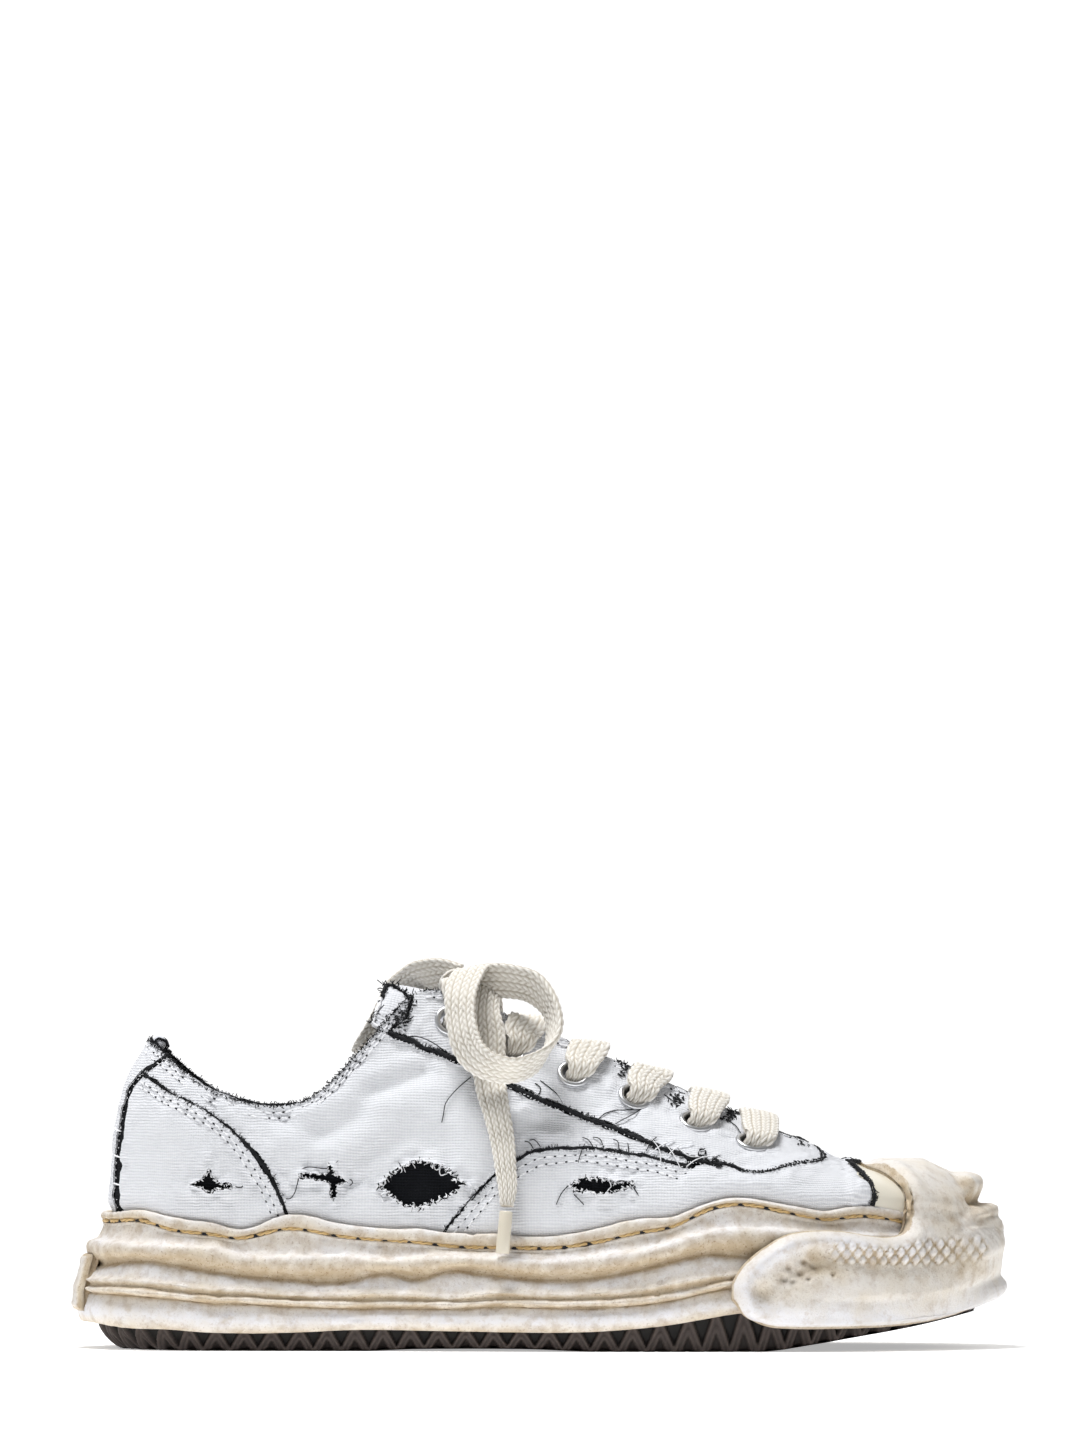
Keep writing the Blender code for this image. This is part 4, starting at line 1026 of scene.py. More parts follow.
def tread_rubber():
    """Dark brown moulded rubber, dull and a little dusty, with painted shade darkening its recesses."""
    material, node = finish_of("dark_moulded_rubber", Roughness=0.62, IOR=1.52, Specular_IOR_Level=0.35)
    spot = node("TexCoord", out="Object")
    dust = node("TexNoise", {"Vector": spot, "Scale": 1000 / 3, "Detail": 6, "Roughness": 0.7})
    tint = node("Mix", {0: dust, 6: colour("352D2A"), 7: colour("574C47")}, **RGBA)
    # Painted shade: the deep field darkens the pockets and grooves nearly to black
    deep = node("Attribute", out="Fac", attribute_name="deep")
    tint = node("Mix", {0: deep, 6: tint, 7: colour("120F0D")}, **RGBA)
    return finished(material, tint)


def woven(name, codes, thread, relief, **values):
    """Plain weave along the cloth's thread map, threads spaced in millimetres."""
    material, node = finish_of(name, **values)
    spot, thread_map = (node("TexCoord", out=out) for out in ("Object", "UV"))
    # A Wave texture repeats every 0.314 units at scale 1
    waves = [node("TexWave", {"Vector": thread_map, "Scale": 0.314 / thread, "Distortion": wander,
        "Detail": 2, "Detail Scale": 0.8}, "Fac", bands_direction=direction)
        for direction, wander in (("X", 3), ("Y", 2.2))]
    # The weft lies over the warp, so its lines across the cloth show most
    weave = node("Mix", {0: 0.72, 2: waves[0], 3: waves[1]}, data_type="FLOAT")
    slubs = node("TexNoise", {"Vector": spot, "Scale": 1000 / 1.6, "Detail": 4})
    cloud = node("TexNoise", {"Vector": spot, "Scale": 1000 / 16, "Detail": 2})
    tint = node("Mix", {0: weave, 6: colour(codes[1]), 7: colour(codes[0])}, **RGBA)
    worn = node("MapRange", {"Value": cloud, "From Min": 0.35, "From Max": 0.75, "To Max": 0.6})
    tint = node("Mix", {0: worn, 6: tint, 7: colour(codes[2])}, **RGBA)
    bumps = node("Bump", {"Height": weave, "Strength": 0.7, "Distance": relief})
    bumps = node("Bump", {"Height": slubs, "Strength": 0.6, "Distance": relief, "Normal": bumps})
    return finished(material, tint, bumps)


AGED_RUBBER = aged_rubber()
SMOOTH_RUBBER = smooth_rubber()
TREAD_RUBBER = tread_rubber()
# Bleached cotton canvas: matt, with threads 0.5 mm apart drawn 1 mm apart so that they show
WHITE_CANVAS = woven("bleached_cotton_canvas", ("ECEDF0", "D4D6DC", "DCDEE3"), 1, 0.0003, Roughness=0.85,
    Sheen_Weight=0.15, Specular_IOR_Level=0.25)
# Dyed cotton twill under the canvas: near black, very matt
BLACK_CLOTH = woven("black_cotton_twill", ("181A1F", "08090B", "101216"), 1, 0.0003, Roughness=0.92,
    Specular_IOR_Level=0.15)
# Brushed cotton over foam, flattened and greyed by wear
INSOLE_CLOTH = woven("worn_insole_cotton", ("C9C3B6", "A59D8C", "8F8676"), 1.2, 0.0002, Roughness=0.95,
    Specular_IOR_Level=0.15)
# Waxed linen thread: tan with a soft shine
WAXED_THREAD = plain("waxed_linen_thread", "CDAE78", Roughness=0.5)
# Painted shade in the awl holes and along the stitch groove: flat dark rubber colour
PAINTED_HOLE_SHADE = plain("painted_awl_hole_shade", "26262E", Roughness=0.9)
# Cotton yarns: white for the canvas, black for the twill
WHITE_YARN = plain("white_cotton_yarn", "F0F1F4", Roughness=0.9)
BLACK_YARN = plain("black_cotton_yarn", "101217", Roughness=0.9)


def braid_cotton():
    """Unbleached cotton, braided flat: matt and warm, with painted shade between the plaits."""
    material, node = finish_of("natural_cotton_braid", Roughness=0.9, Sheen_Weight=0.25,
        Specular_IOR_Level=0.2)
    spot = node("TexCoord", out="Object")
    plait = node("Attribute", out="Fac", attribute_name="plait")
    # Painted shade: darker where the braid is low, between the plaits
    tint = node("Mix", {0: plait, 6: colour("AEA391"), 7: colour("FCFAF5")}, **RGBA)
    soil = node("TexNoise", {"Vector": spot, "Scale": 1000 / 14, "Detail": 4})
    soil = node("MapRange", {"Value": soil, "From Min": 0.45, "From Max": 0.8, "To Max": 0.3})
    tint = node("Mix", {0: soil, 6: tint, 7: colour("E4DED0")}, **RGBA)
    nap = node("TexNoise", {"Vector": spot, "Scale": 1000 / 0.5, "Detail": 2})
    nap = node("Bump", {"Height": nap, "Strength": 0.3, "Distance": 0.0002})
    return finished(material, tint, nap)


LACE_COTTON = braid_cotton()
# Clear film rolled over the cotton: the yarn's colour under a gloss
AGLET_FILM = plain("clear_film_over_cotton", "DCD4C2", Roughness=0.45, Coat_Weight=0.8, Coat_Roughness=0.12)
# Rolled and plated brass: bright with a soft tumbled finish
EYELET_METAL = plain("nickel_plated_brass", "D5D6D8", Metallic=1, Roughness=0.3)


# ---- the moulded sole wall

def wall_heights(station, out):
    """Heights of the sole wall's lines on the columns, by name."""
    return SimpleNamespace(**{name: height(x_at(station, out)) for name, height in wall.items()})


def sole_corners(station):
    """Section of the sole wall: (out, up, tan, white) from under its bottom edge to the inner lip. Tan is a
    stain with painted shade in the creases, the stitch groove, under the ledges and inside the lip; white is
    a painted highlight on the crests.
    """
    out, slope = outline(station), lean(station)
    up = wall_heights(station, out)
    here = place(station, out, up.ledge)
    swell = 0.55 * noise(here, 17, 41) + 0.3 * noise(here, 7, 42)
    rope = 0.35 * noise(here, 12, 43) + 0.2 * noise(here, 5, 44)
    roll = 0.6 * noise(here, 24, 45) + 0.3 * noise(here, 9, 46)
    low, high, crease, ledge = up.low, up.high, up.crease, up.ledge
    bottom, stitch, lip, neck = up.bottom, up.stitch, up.lip, out - slope
    between = (low + high) / 2
    rows = [
        (out - 14, bottom + 2, 0, 0),
        (out - 5, bottom + 0.6, 0, 0),
        (out - 3.4, bottom, 0.5, 0),
        (out - 1.5 + 0.3 * roll, bottom - 0.1, 0.6, 0),
        (out - 0.5 + 0.4 * roll, bottom + 0.9, 0.45, 0.2),
        (out + 0.15 + 0.4 * roll, up.roll - 0.6, 0.05, 0.9),
        (out + 0.2 + 0.4 * roll, up.roll + 0.8, 0.05, 1),
        (out - 0.7 + 0.3 * roll, up.roll + 0.42 * (low - up.roll), 0.2, 0.7),
        (out - 1.5 + 0.2 * roll, low - 2, 0.4, 0.5),
        (out - 2.5, low - 1.35, 1, 0),
        (out - 0.9 + rope, low - 0.95, 0.85, 0),
        (out + 0.3 + rope, low, 0.5, 0.2),
        (out - 0.1 + rope, low + 0.55, 0.4, 0.3),
        (out - 0.08 * slope - 1.35, between, 1, 0),
        (out - 0.14 * slope + 0.1 - rope, high - 0.6, 0.55, 0.1),
        (out - 0.15 * slope + 0.45 - rope, high, 0.35, 0.4),
        (out - 0.18 * slope - 0.7 - 0.5 * rope, high + 0.85, 0.3, 0.5),
        (out - 0.24 * slope - 1.2, high + 0.3 * (crease - high) + 0.6, 0.15, 0.7),
        (out - 0.36 * slope - 1.2 + 0.3 * swell, crease - 1.7, 0.3, 0.6),
        (out - 0.4 * slope - 2.9, crease - 0.55, 1, 0),
        (out - 0.4 * slope - 3, crease + 0.15, 1, 0),
        (out - 0.42 * slope - 0.2 + swell, crease + 0.3 * (ledge - crease), 0.95, 0),
        (out - 0.5 * slope + 1.25 + swell, crease + 0.74 * (ledge - crease), 0.5, 0.2),
        (out - 0.58 * slope + 1.05 + swell, ledge + 0.25, 0.2, 0.7),
        (out - 0.78 * slope - 0.2 + 0.6 * swell, ledge + 1.3, 0.2, 0.7),
        (out - 0.92 * slope - 0.5, ledge + 0.48 * (stitch - ledge) + 0.6, 0.4, 0.7),
        (neck - 0.25, stitch - 1.5, 0.4, 0.6),
        (neck - 0.1, stitch - 0.75, 0.5, 0.4),
        (neck - 0.6, stitch - 0.42, 0.9, 0),
        (neck - 1.1, stitch, 1, 0),
        (neck - 0.45, stitch + 0.42, 0.85, 0),
        (neck + 0.3, stitch + 0.85, 0.8, 0),
        (neck + 0.5, (stitch + lip) / 2 + 0.3, 0.4, 0.3),
        (neck + 0.15, lip - 0.5, 0.2, 0.6),
        (neck - 0.7, lip, 0.25, 0.5),
        (neck - LIP + 0.4, lip - 0.45, 0.5, 0.2),
        (neck - LIP, lip - 1.6, 0.9, 0),
        (neck - LIP - 0.2, lip - 5, 1, 0),
        (out - 14, bottom + 14, 1, 0),
    ]
    return np.stack([stack(*row) for row in rows], 1)


def make_sole_wall():
    stations = np.arange(0, TURN, 1.2)
    lines = smooth_lines(sole_corners(stations), 2)
    points = place(stations[:, None], lines[..., 0], lines[..., 1])
    normals = surface_normals(points)
    shown = ease(4, 9, np.arange(lines.shape[1]))
    lumps = 0.30 * noise(points, 10, 51) + 0.16 * noise(points, 4.2, 52) + 0.07 * noise(points, 1.9, 53)
    pits = -0.5 * ease(0.62, 0.8, noise(points, 2.2, 54))
    points = points + normals * ((lumps + pits) * shown)[..., None]
    faces = sheet_faces(len(stations), lines.shape[1], True, True)
    # tan paints a stain with painted shade in the creases and groove, white a painted highlight on the crests
    fields = {"tan": np.clip(lines[..., 2], 0, 1), "white": np.clip(lines[..., 3], 0, 1)}
    piece("moulded_sole_wall", points, faces, AGED_RUBBER, "cream_rubber", ["midsole"], fields=fields)


def lip_stitches():
    """Two-ply stitches in the groove of the lip, with painted shade in the hole at each end and along the
    groove.
    """
    stations = np.concatenate([np.arange(404, TURN, 0.5), np.arange(0, 316.1, 0.5)])
    out = outline(stations) - lean(stations) - 0.35
    up = wall["stitch"](x_at(stations, outline(stations)))
    path = place(stations, out, up)
    run = run_of(path)
    _, _, way_x, way_y = column(stations)
    outward = stack(way_x, way_y, 0)
    count = round(run[-1] / 8.6)
    pitch = run[-1] / count
    plies, radii, holes, hole_radii = [], [], [], []
    shade_taper = np.array([0.2, 0.55, 0.5, 0.3, 0.1])
    for number in range(count):
        start = number * pitch + 0.7 * noise(np.array([number * 3.1, 0.5, 0.5]), 1, 55)
        length = pitch - 1
        t = np.linspace(0, 1, 15)
        ats = start + 0.5 + t * length
        middle = sampled(path, run, ats)
        face = sampled(outward, run, ats)
        bow = np.sin(np.pi * t) ** 0.5
        for turn in (0, math.pi):
            angle = 2 * math.pi * t * length / 5.2 + turn
            side = 0.3 * bow
            plies.append(middle + face * ((np.cos(angle) * side + 0.35 * bow - 0.45)[:, None])
                + np.array([0, 0, 1]) * (np.sin(angle) * side * 1.1)[:, None])
            radii.append(0.2 + 0.22 * bow)
        # Painted shadow: a dark taper into each stitch's hole, and a dark line under the thread along the
        # groove
        for ats, size in ((start + np.array([-0.9, -0.2, 0.5, 1.3, 2.4]), shade_taper),
                (start + length + np.array([0.9, 0.2, -0.5, -1.3, -2.4]) - 0.6, shade_taper * 0.8)):
            spot = sampled(path, run, ats)
            holes.append(spot - face[:5] * 0.35 - [0, 0, 0.25])
            hole_radii.append(size)
        seam = sampled(path, run, start + length * t)
        holes.append(seam - face * 0.42 - [0, 0, 0.35])
        hole_radii.append(np.full(15, 0.3))
    ropes("lip_stitches", plies, radii, 6, WAXED_THREAD, "cream_rubber")
    ropes("lip_stitch_painted_shade", holes, hole_radii, 6, PAINTED_HOLE_SHADE, "cream_rubber")


# ---- threads, stitches and loose ends

def ropes(name, lines, radii, sides, material, slot="canvas"):
    """Many round strands as one piece, each with its points and its radii."""
    points, faces = [], []
    total = 0
    turn = np.linspace(0, 2 * math.pi, sides, endpoint=False)
    for line, radius in zip(lines, radii):
        line = np.asarray(line, float)
        way = unit(np.gradient(line, axis=0))
        hint = np.array([0.31, 0.17, 0.93]) if abs(way[:, 2]).mean() < 0.8 else np.array([0.93, 0.31, 0.17])
        one = unit(np.cross(way, hint))
        two = np.cross(way, one)
        radius = np.broadcast_to(radius, len(line))
        ring = (line[:, None] + (one[:, None] * np.cos(turn)[:, None] + two[:, None] * np.sin(turn)[:, None])
                * radius[:, None, None])
        points.append(ring.reshape(-1, 3))
        faces += [face[::-1] for face in tube_faces(len(line), sides, total)]
        total += len(line) * sides
    return piece(name, np.concatenate(points), faces, material, slot)


# ---- toe guard, toe cap and heel patch

GUARDS = table("station foot reach thick", """
241 17.5 5 1
245 12.5 17 2.2
252 8.6 27 3
262 7.6 32.5 3.3
280 7.5 33.5 3.4
298 7.8 31 3.6
306 8.2 31 4
311 8.5 33 4.3
314 8.8 38 4.5
317 9.1 50 4.6
322 9.6 58.5 4.8
332 11 66 5
345 13.4 71.5 5.4
360 15.4 76 5.6
""")
# Outline of the guard's front over the tip of the toe
TIP_LINE = table("x z", """147 14.6; 150 15.6; 154.5 18.6; 155.9 21; 154.6 24.2; 154.3 27; 154.8 31
155.4 35.7; 154.4 41.4; 151.9 46; 148.6 50; 144.8 54; 139.4 57.2; 134.1 59.9; 125.8 63.2; 114.3 63.1
104.4 60.5; 101 60.2""")


def moved(lines, by):
    """2-D lines moved to their outer side."""
    way = unit(np.gradient(lines, axis=1))
    return lines + stack(way[..., 1], -way[..., 0]) * by


def over_sole(station, clear):
    """Lines from the ground up that clear the sole wall, the lip and the toe cap."""
    out, slope = outline(station), lean(station)
    up = wall_heights(station, out)
    over = moved(upper_lines(station), 2 * GAP + CAP + clear)
    over = spread(over, run_to(over, up.lip + 3), np.inf, 60)
    low = np.stack([stack(*row) for row in (
        (out - 2.9 + clear, 0),
        (out - 2.9 + clear, up.bottom - 2),
        (out + clear, up.bottom + 2),
        (out + clear, up.low),
        (out - 0.15 * slope + clear, up.high),
        (out - 0.45 * slope + clear, (up.crease + up.ledge) / 2),
        (out - 0.6 * slope + clear, up.ledge),
        (out - slope + 0.4 + clear, up.stitch + 1),
        (out - slope + 0.2 + clear, up.lip),
    )], 1)
    return np.concatenate([low, over], 1)


def bump(distance, wide):
    return np.exp(-(distance / wide) ** 2)


def from_border(base):
    """Distance of each point of a grid from the grid's border."""
    border = np.concatenate([base[:, 0], base[:, -1], base[0], base[-1]])
    return nearest(base.reshape(-1, 3), border)[0].reshape(base.shape[:2])


def from_segment(x, z, a, b):
    """Distance from a 2-D segment, and how far along it from 0 to 1."""
    a, b = np.array(a, float), np.array(b, float)
    way = b - a
    t = np.clip(((x - a[0]) * way[0] + (z - a[1]) * way[1]) / (way @ way), 0, 1)
    return np.hypot(x - a[0] - t * way[0], z - a[1] - t * way[1]), t


def make_toe_guard():
    """Thick rubber round the toe: rolled lobes, a dished middle, a knurled band and a nose."""
    named = curves_of(GUARDS)
    near = np.concatenate([np.arange(241, 262, 0.5), np.arange(262, 308, 0.62), np.arange(308, 325, 0.35),
        np.arange(325, 360, 0.62)])
    stations = np.concatenate([near, [TIP], TURN - near[::-1]])
    s = np.minimum(stations, TURN - stations)
    rows = 100
    lines = over_sole(stations, 0.9)
    lines = spread(lines, 0, np.inf, 220)
    for _ in range(6):
        lines[:, 1:-1] = (lines[:, :-2] + 2 * lines[:, 1:-1] + lines[:, 2:]) / 4
    start = run_to(lines, named["foot"](s))
    base2 = spread(lines, start, start + named["reach"](s), rows)
    base = place(stations[:, None], base2[..., 0], base2[..., 1])
    normals = surface_normals(base, closed=False)
    edge = from_border(base)
    t = np.linspace(0, 1, rows)[None]
    height_up = t * named["reach"](s)[:, None]
    spot = base + normals * 3
    x, z = spot[..., 0], spot[..., 2]
    front = ease(300, 332, s)[:, None]

    thick = named["thick"](s)[:, None] * (1 + 0.05 * noise(spot, 16, 61))
    # The tip's own outline, fading round to the sides
    middle = len(near)
    outer_line = np.array(TIP_LINE) - [TOE_X, 0]
    way = unit(np.gradient(base2[middle], axis=0))
    out_way = stack(way[:, 1], -way[:, 0])
    tip_thick = np.empty(rows)
    for k, (point, direction) in enumerate(zip(base2[middle], out_way)):
        best = 99
        for a, b in zip(outer_line[:-1], outer_line[1:]):
            grid = stack(direction, a - b)
            if abs(np.linalg.det(grid)) > 1e-9:
                reach, part = np.linalg.solve(grid, a - point)
                if -0.01 <= part <= 1.01 and 0 < reach < best:
                    best = reach
        tip_thick[k] = best
    good = tip_thick < 20
    tip_thick = np.interp(np.arange(rows), np.arange(rows)[good], tip_thick[good])
    towards_tip = ease(318, 350, s)[:, None]
    thick = thick * (1 - towards_tip) + tip_thick[None] * towards_tip

    lift = 0.3 + thick * rounded(edge, 4.2)
    # Rolled rim of the lobe and the dish inside it
    lobe = 1 - ease(100, 126, x)
    lift += 1.1 * bump(edge - 4.6, 2.6) * (0.35 + 0.65 * lobe) * (1 - 0.7 * front)
    dish, along_dish = from_segment(x, z, (93, 33.5), (74, 20))
    lift -= 2.5 * bump(dish, 4.6) * (0.55 + 0.45 * along_dish) * ease(3, 7.5, edge)
    hollow, _ = from_segment(x, z, (92, 28.5), (146, 26.5))
    lift -= 1.2 * bump(hollow, 3.6) * ease(4, 8, edge) * (1 - 0.6 * front)
    # Smooth roll along the bottom, with a soft crease above it
    lift += 0.9 * bump(height_up - 4.6, 3) * ease(78, 92, x)
    lift -= 0.7 * bump(height_up - 9.4, 1.5) * ease(86, 110, x)
    # Knurled band: rounded diamonds
    band, along_band = from_segment(x, z, (93, 33.6), (142, 31.8))
    run = x + 0.5 * noise(spot, 9, 62)
    climb = z + 0.4 * noise(spot, 8, 63)
    diamonds = np.abs(np.cos(math.pi * (run / 3.6 + climb / 4.6)) * np.cos(math.pi * (run / 3.6
        - climb / 4.6)))
    on_band = (1 - ease(3, 5, band)) * ease(0.02, 0.1, along_band) * ease(3, 6, edge)
    on_band = on_band * (0.6 + 0.45 * noise(spot, 9, 64) + 0.4 * bump(x - 117, 11))
    on_band = on_band * (1 - ease(340, 352, s))[:, None]
    lift += on_band * (1.25 * diamonds ** 0.8 - 0.5)
    # Fine ribs at the very front
    at_tip = ease(322, 334, s)[:, None] * bump(z - 37, 4.6)
    lift += 0.3 * at_tip * np.sin(2 * math.pi * (z + 0.9 * stations[:, None] + noise(spot, 3, 65)) / 2.6)
    # Pits
    for pit_x, pit_z, wide in ((82, 28.3, 1), (80.6, 24.6, 1.1), (83.6, 23.4, 0.9), (86, 26.4, 1.1),
            (88.6, 24.2, 0.8), (90.6, 28.8, 1), (87.2, 30.2, 0.8), (96.8, 25.6, 0.7)):
        lift -= 1.9 * bump(np.hypot(x - pit_x, z - pit_z), wide)
    # Nose: a short roll over a deep pocket, and the ridge under it
    off = (stations[:, None] - TIP)
    nose_way = 1 - ease(10.5, 12.3, np.abs(off + 3))
    lift += 4.3 * nose_way * bump(z - 52, 3.3) * ease(135, 140, x)
    pocket = (1 - ease(12, 17, np.abs(off + 3))) * bump(z - 48.3, 1.5)
    lift -= 3.9 * pocket
    ridge, _ = from_segment(x, z, (141, 43.4), (152, 46.2))
    lift += 2 * bump(ridge, 1.6) * (1 - ease(14, 30, np.abs(off)))
    # Folds that sag from the nose round to the sides
    for a, b, rise, wide in (((112, 47), (140, 44), -0.9, 3.2), ((117, 58), (137, 51), -0.7, 3),
            ((124, 40.5), (150, 40), 0.7, 3), ((121, 50), (134, 47), 0.7, 3.4)):
        gap, _ = from_segment(x, z, a, b)
        lift += rise * bump(gap, wide) * ease(2, 6, edge)
    lift += ease(0.5, 4, edge) * (0.38 * noise(spot, 11, 66) + 0.22 * noise(spot, 5, 67)
        + 0.09 * noise(spot, 2.1, 68))
    # Tan stain with painted shade in the dish, the hollow, between the knurls, at the rim and as the nose
    # pocket's shadow; painted highlight (white) on the lobe's rim, the bottom roll and the knurls' tops
    stain_and_painted_shade = np.clip(0.4 * bump(dish, 6) + 0.4 * bump(hollow, 4.5)
        + on_band * (1 - ease(0.08, 0.3, diamonds)) + 0.35 * front * bump(z - 45, 7) + 0.9 * pocket
        + 0.8 * (edge < 0.8) + 0.5 * bump(np.abs(off + 3) - 11.6, 1.2) * bump(z - 53, 5), 0, 1)
    pale = np.clip(bump(edge - 5, 3) * lobe + 0.7 * bump(height_up - 5, 4) + on_band * diamonds, 0, 1)
    shell("toe_guard_rubber", base, normals, np.maximum(lift, 0.3), 1.8, AGED_RUBBER, "cream_rubber",
          {"tan": stain_and_painted_shade, "white": pale}, "toe_guard")


def make_toe_cap():
    """Smooth thin rubber cap over the toe, with a rounded rear edge."""
    first, rear, rows = 300, 29.5, 44
    stations = np.concatenate([np.arange(first, 360, 1), np.arange(360, TURN - first + 0.1, 1)])
    lines = moved(upper_lines(stations), GAP)
    lines = spread(lines, 0, np.inf, 260)
    way = np.sin(np.radians(90 * (np.minimum(stations, TURN - stations) - TOE_SIDE) / (TIP - TOE_SIDE)))
    start = run_to(lines, wall["lip"](x_at(stations, outline(stations))) - 2)
    end = np.empty(len(stations))
    for i, line in enumerate(lines):
        run = run_of(line)
        beyond = np.nonzero(line[:, 0] < rear / way[i])[0]
        end[i] = run[beyond[0]] if len(beyond) else run[-1]
    base = spread(lines, start, end, rows)
    base = place(stations[:, None], base[..., 0], base[..., 1])
    normals = surface_normals(base, closed=False)
    t = np.linspace(0, 1, rows)[None]
    from_rear = (1 - t) * (end - start)[:, None]
    lift = 0.5 + 1.1 * rounded(from_rear, 1.2) + 0.08 * noise(base, 14, 71)
    shell("toe_cap_rubber", base, normals, lift, 1.4, SMOOTH_RUBBER, "cap_rubber", {}, "toe_cap")


def make_heel_patch():
    """Bare rubber patch low at the back of the sole, with soft edges."""
    half, low, high, rows = 15, 12.6, 31.5, 40
    stations = np.arange(-half, half + 0.1, 0.75)
    lines = over_sole(stations % TURN, 0)
    base = spread(lines, run_to(lines, low), run_to(lines, high), rows)
    base = place(stations[:, None] % TURN, base[..., 0], base[..., 1])
    normals = surface_normals(base, closed=False)
    edge = from_border(base)
    lift = 0.2 + 1.7 * rounded(edge, 2.2)
    lift += 0.45 * bump(edge - 2.4, 1.3) + 0.16 * noise(base, 4, 72) + 0.07 * noise(base, 1.6, 73)
    # Painted shade along the patch's edge through the tan field, and a painted highlight on its top through
    # the white field
    shell("heel_patch_rubber", base, normals, lift, 2.2, AGED_RUBBER, "cream_rubber",
          {"tan": np.where(edge < 1, 0.9, 0.3), "white": np.where(edge > 2, 0.5, 0)}, "heel_patch")


# ---- tread

def make_outsole():
    """Dark tread: a zigzag of ribs over scalloped feet, and a herringbone underneath."""
    pitch, count = 9.2, 17
    stations = np.arange(0, TURN, 0.5)

    def rim_of(stations):
        s = np.minimum(stations, TURN - stations)
        out = outline(stations) - curve([(0, 6.4), (35, 5.4), (70, 3.4), (100, 3), (360, 3)])(s)
        bevel = curve([(0, 8), (35, 7), (70, 3.2), (100, 2.2), (253, 2.2), (360, 2.4)])(s)
        return out, out - bevel

    out, rim = rim_of(stations)
    top = wall["bottom"](x_at(stations, outline(stations))) + 0.9
    base = ground(x_at(stations, rim))
    path = place(stations, out, 0 * stations)
    run = run_of(path)
    phase = (run / run[-1] * round(run[-1] / pitch))[:, None]
    v = np.linspace(0, 1, count)[None]
    side_out = rim[:, None] + (out - rim)[:, None] * np.sin(v * math.pi / 2) ** 0.75
    side_up = base[:, None] + (top - base)[:, None] * v
    # Peaked ribs, a smaller one inside each, and pockets between them
    part = np.abs(phase - np.round(phase))
    leg, small = 0.5 * (1 - 0.92 * v), 0.27 * (1 - v / 0.62)
    rib = 1 - ease(0.45, 1, np.abs(part - leg) * pitch)
    inner_rib = (1 - ease(0.35, 0.9, np.abs(part - small) * pitch)) * (v < 0.66)
    # deep sinks the pockets between the ribs, and the finish also paints shade into them by it
    deep = np.where(part > leg, 1, np.where(part < small, 0.7, 0.3))
    deep = deep * (1 - np.maximum(rib, 0.85 * inner_rib))
    scallop = 0.8 * (np.cos(math.pi * part) ** 2) * (1 - v) ** 2
    side = place(stations[:, None], side_out - 2.3 * deep, side_up + scallop)
    lid = place(stations, out - 5, top + 0.4)[:, None]
    points = np.concatenate([side, lid], 1)
    faces = sheet_faces(len(stations), count + 1, True, False)
    deep = np.concatenate([deep, deep[:, -1:]], 1)

    stations = np.arange(0, TURN, 1)
    _, rim = rim_of(stations)
    w = np.linspace(0, 1, 30)[None]
    under_out = rim[:, None] * w + 0.4 * (w == 1)
    spot = place(stations[:, None], under_out, 0 * under_out)
    zigzag = np.abs((spot[..., 1] / 7) % 2 - 1) * 4.5
    row = ((spot[..., 0] + zigzag) / 5.2) % 1
    # groove sinks the underside's grooves, and through the deep field also paints shade into them
    groove = ease(0.1, 0.2, np.abs(row - 0.5) - 0.12) * ease(0, 4, rim[:, None] - under_out)
    floor = ground(x_at(stations[:, None], under_out))
    bottom = place(stations[:, None], under_out, floor + 1.5 * groove)
    under = sheet_faces(len(stations), w.shape[1], True, False) + points.size // 3
    piece("tread_rubber", np.concatenate([points.reshape(-1, 3), bottom.reshape(-1, 3)]),
          faces.tolist() + under.tolist(), TREAD_RUBBER, "outsole_rubber", ["outsole"],
          fields={"deep": np.concatenate([deep.ravel(), groove.ravel()])})


# ---- lace and eyelets

LACE_WIDE, LACE_THICK = 12.5, 2.3
# Middle of the lace, the way across it and its width
LACE_COLUMNS = "x y z over_x over_y over_z wide"
LOOP_NEAR = table(LACE_COLUMNS, """
-22.5 -3 124.2 0.9 -0.1 0.2 9
-21.5 -12 125.8 0.9 -0.3 0.2 11
-23.6 -21 125.4 0.9 -0.4 0.1 12.5
-26.2 -29.5 118.6 0.85 -0.5 0 12.5
-26.2 -33.5 109 0.8 -0.6 0.1 12.5
-23.4 -36.8 99.6 0.7 -0.6 0.4 12.5
-17.2 -40 94.4 0.45 -0.65 0.6 12.5
-9 -40.8 92.8 0.2 -0.7 0.7 12.5
-1.8 -38.6 95.2 0.1 -0.75 0.6 12.5
3.2 -35.5 100.6 0.3 -0.85 0.4 12.5
4.8 -32.5 107.2 0.4 -0.9 0.2 12.5
3 -28.5 114.6 0.35 -0.8 0.5 12.5
-2.2 -24 120.2 0.3 -0.5 0.8 12.5
-9 -21 122.2 0.1 -0.4 0.9 12.5
-15.8 -18 122.6 0 -0.3 0.9 12.5
-22 -13 122 0 -0.25 0.9 11.5
-26.5 -6.5 121.4 0 -0.2 0.9 9
""")
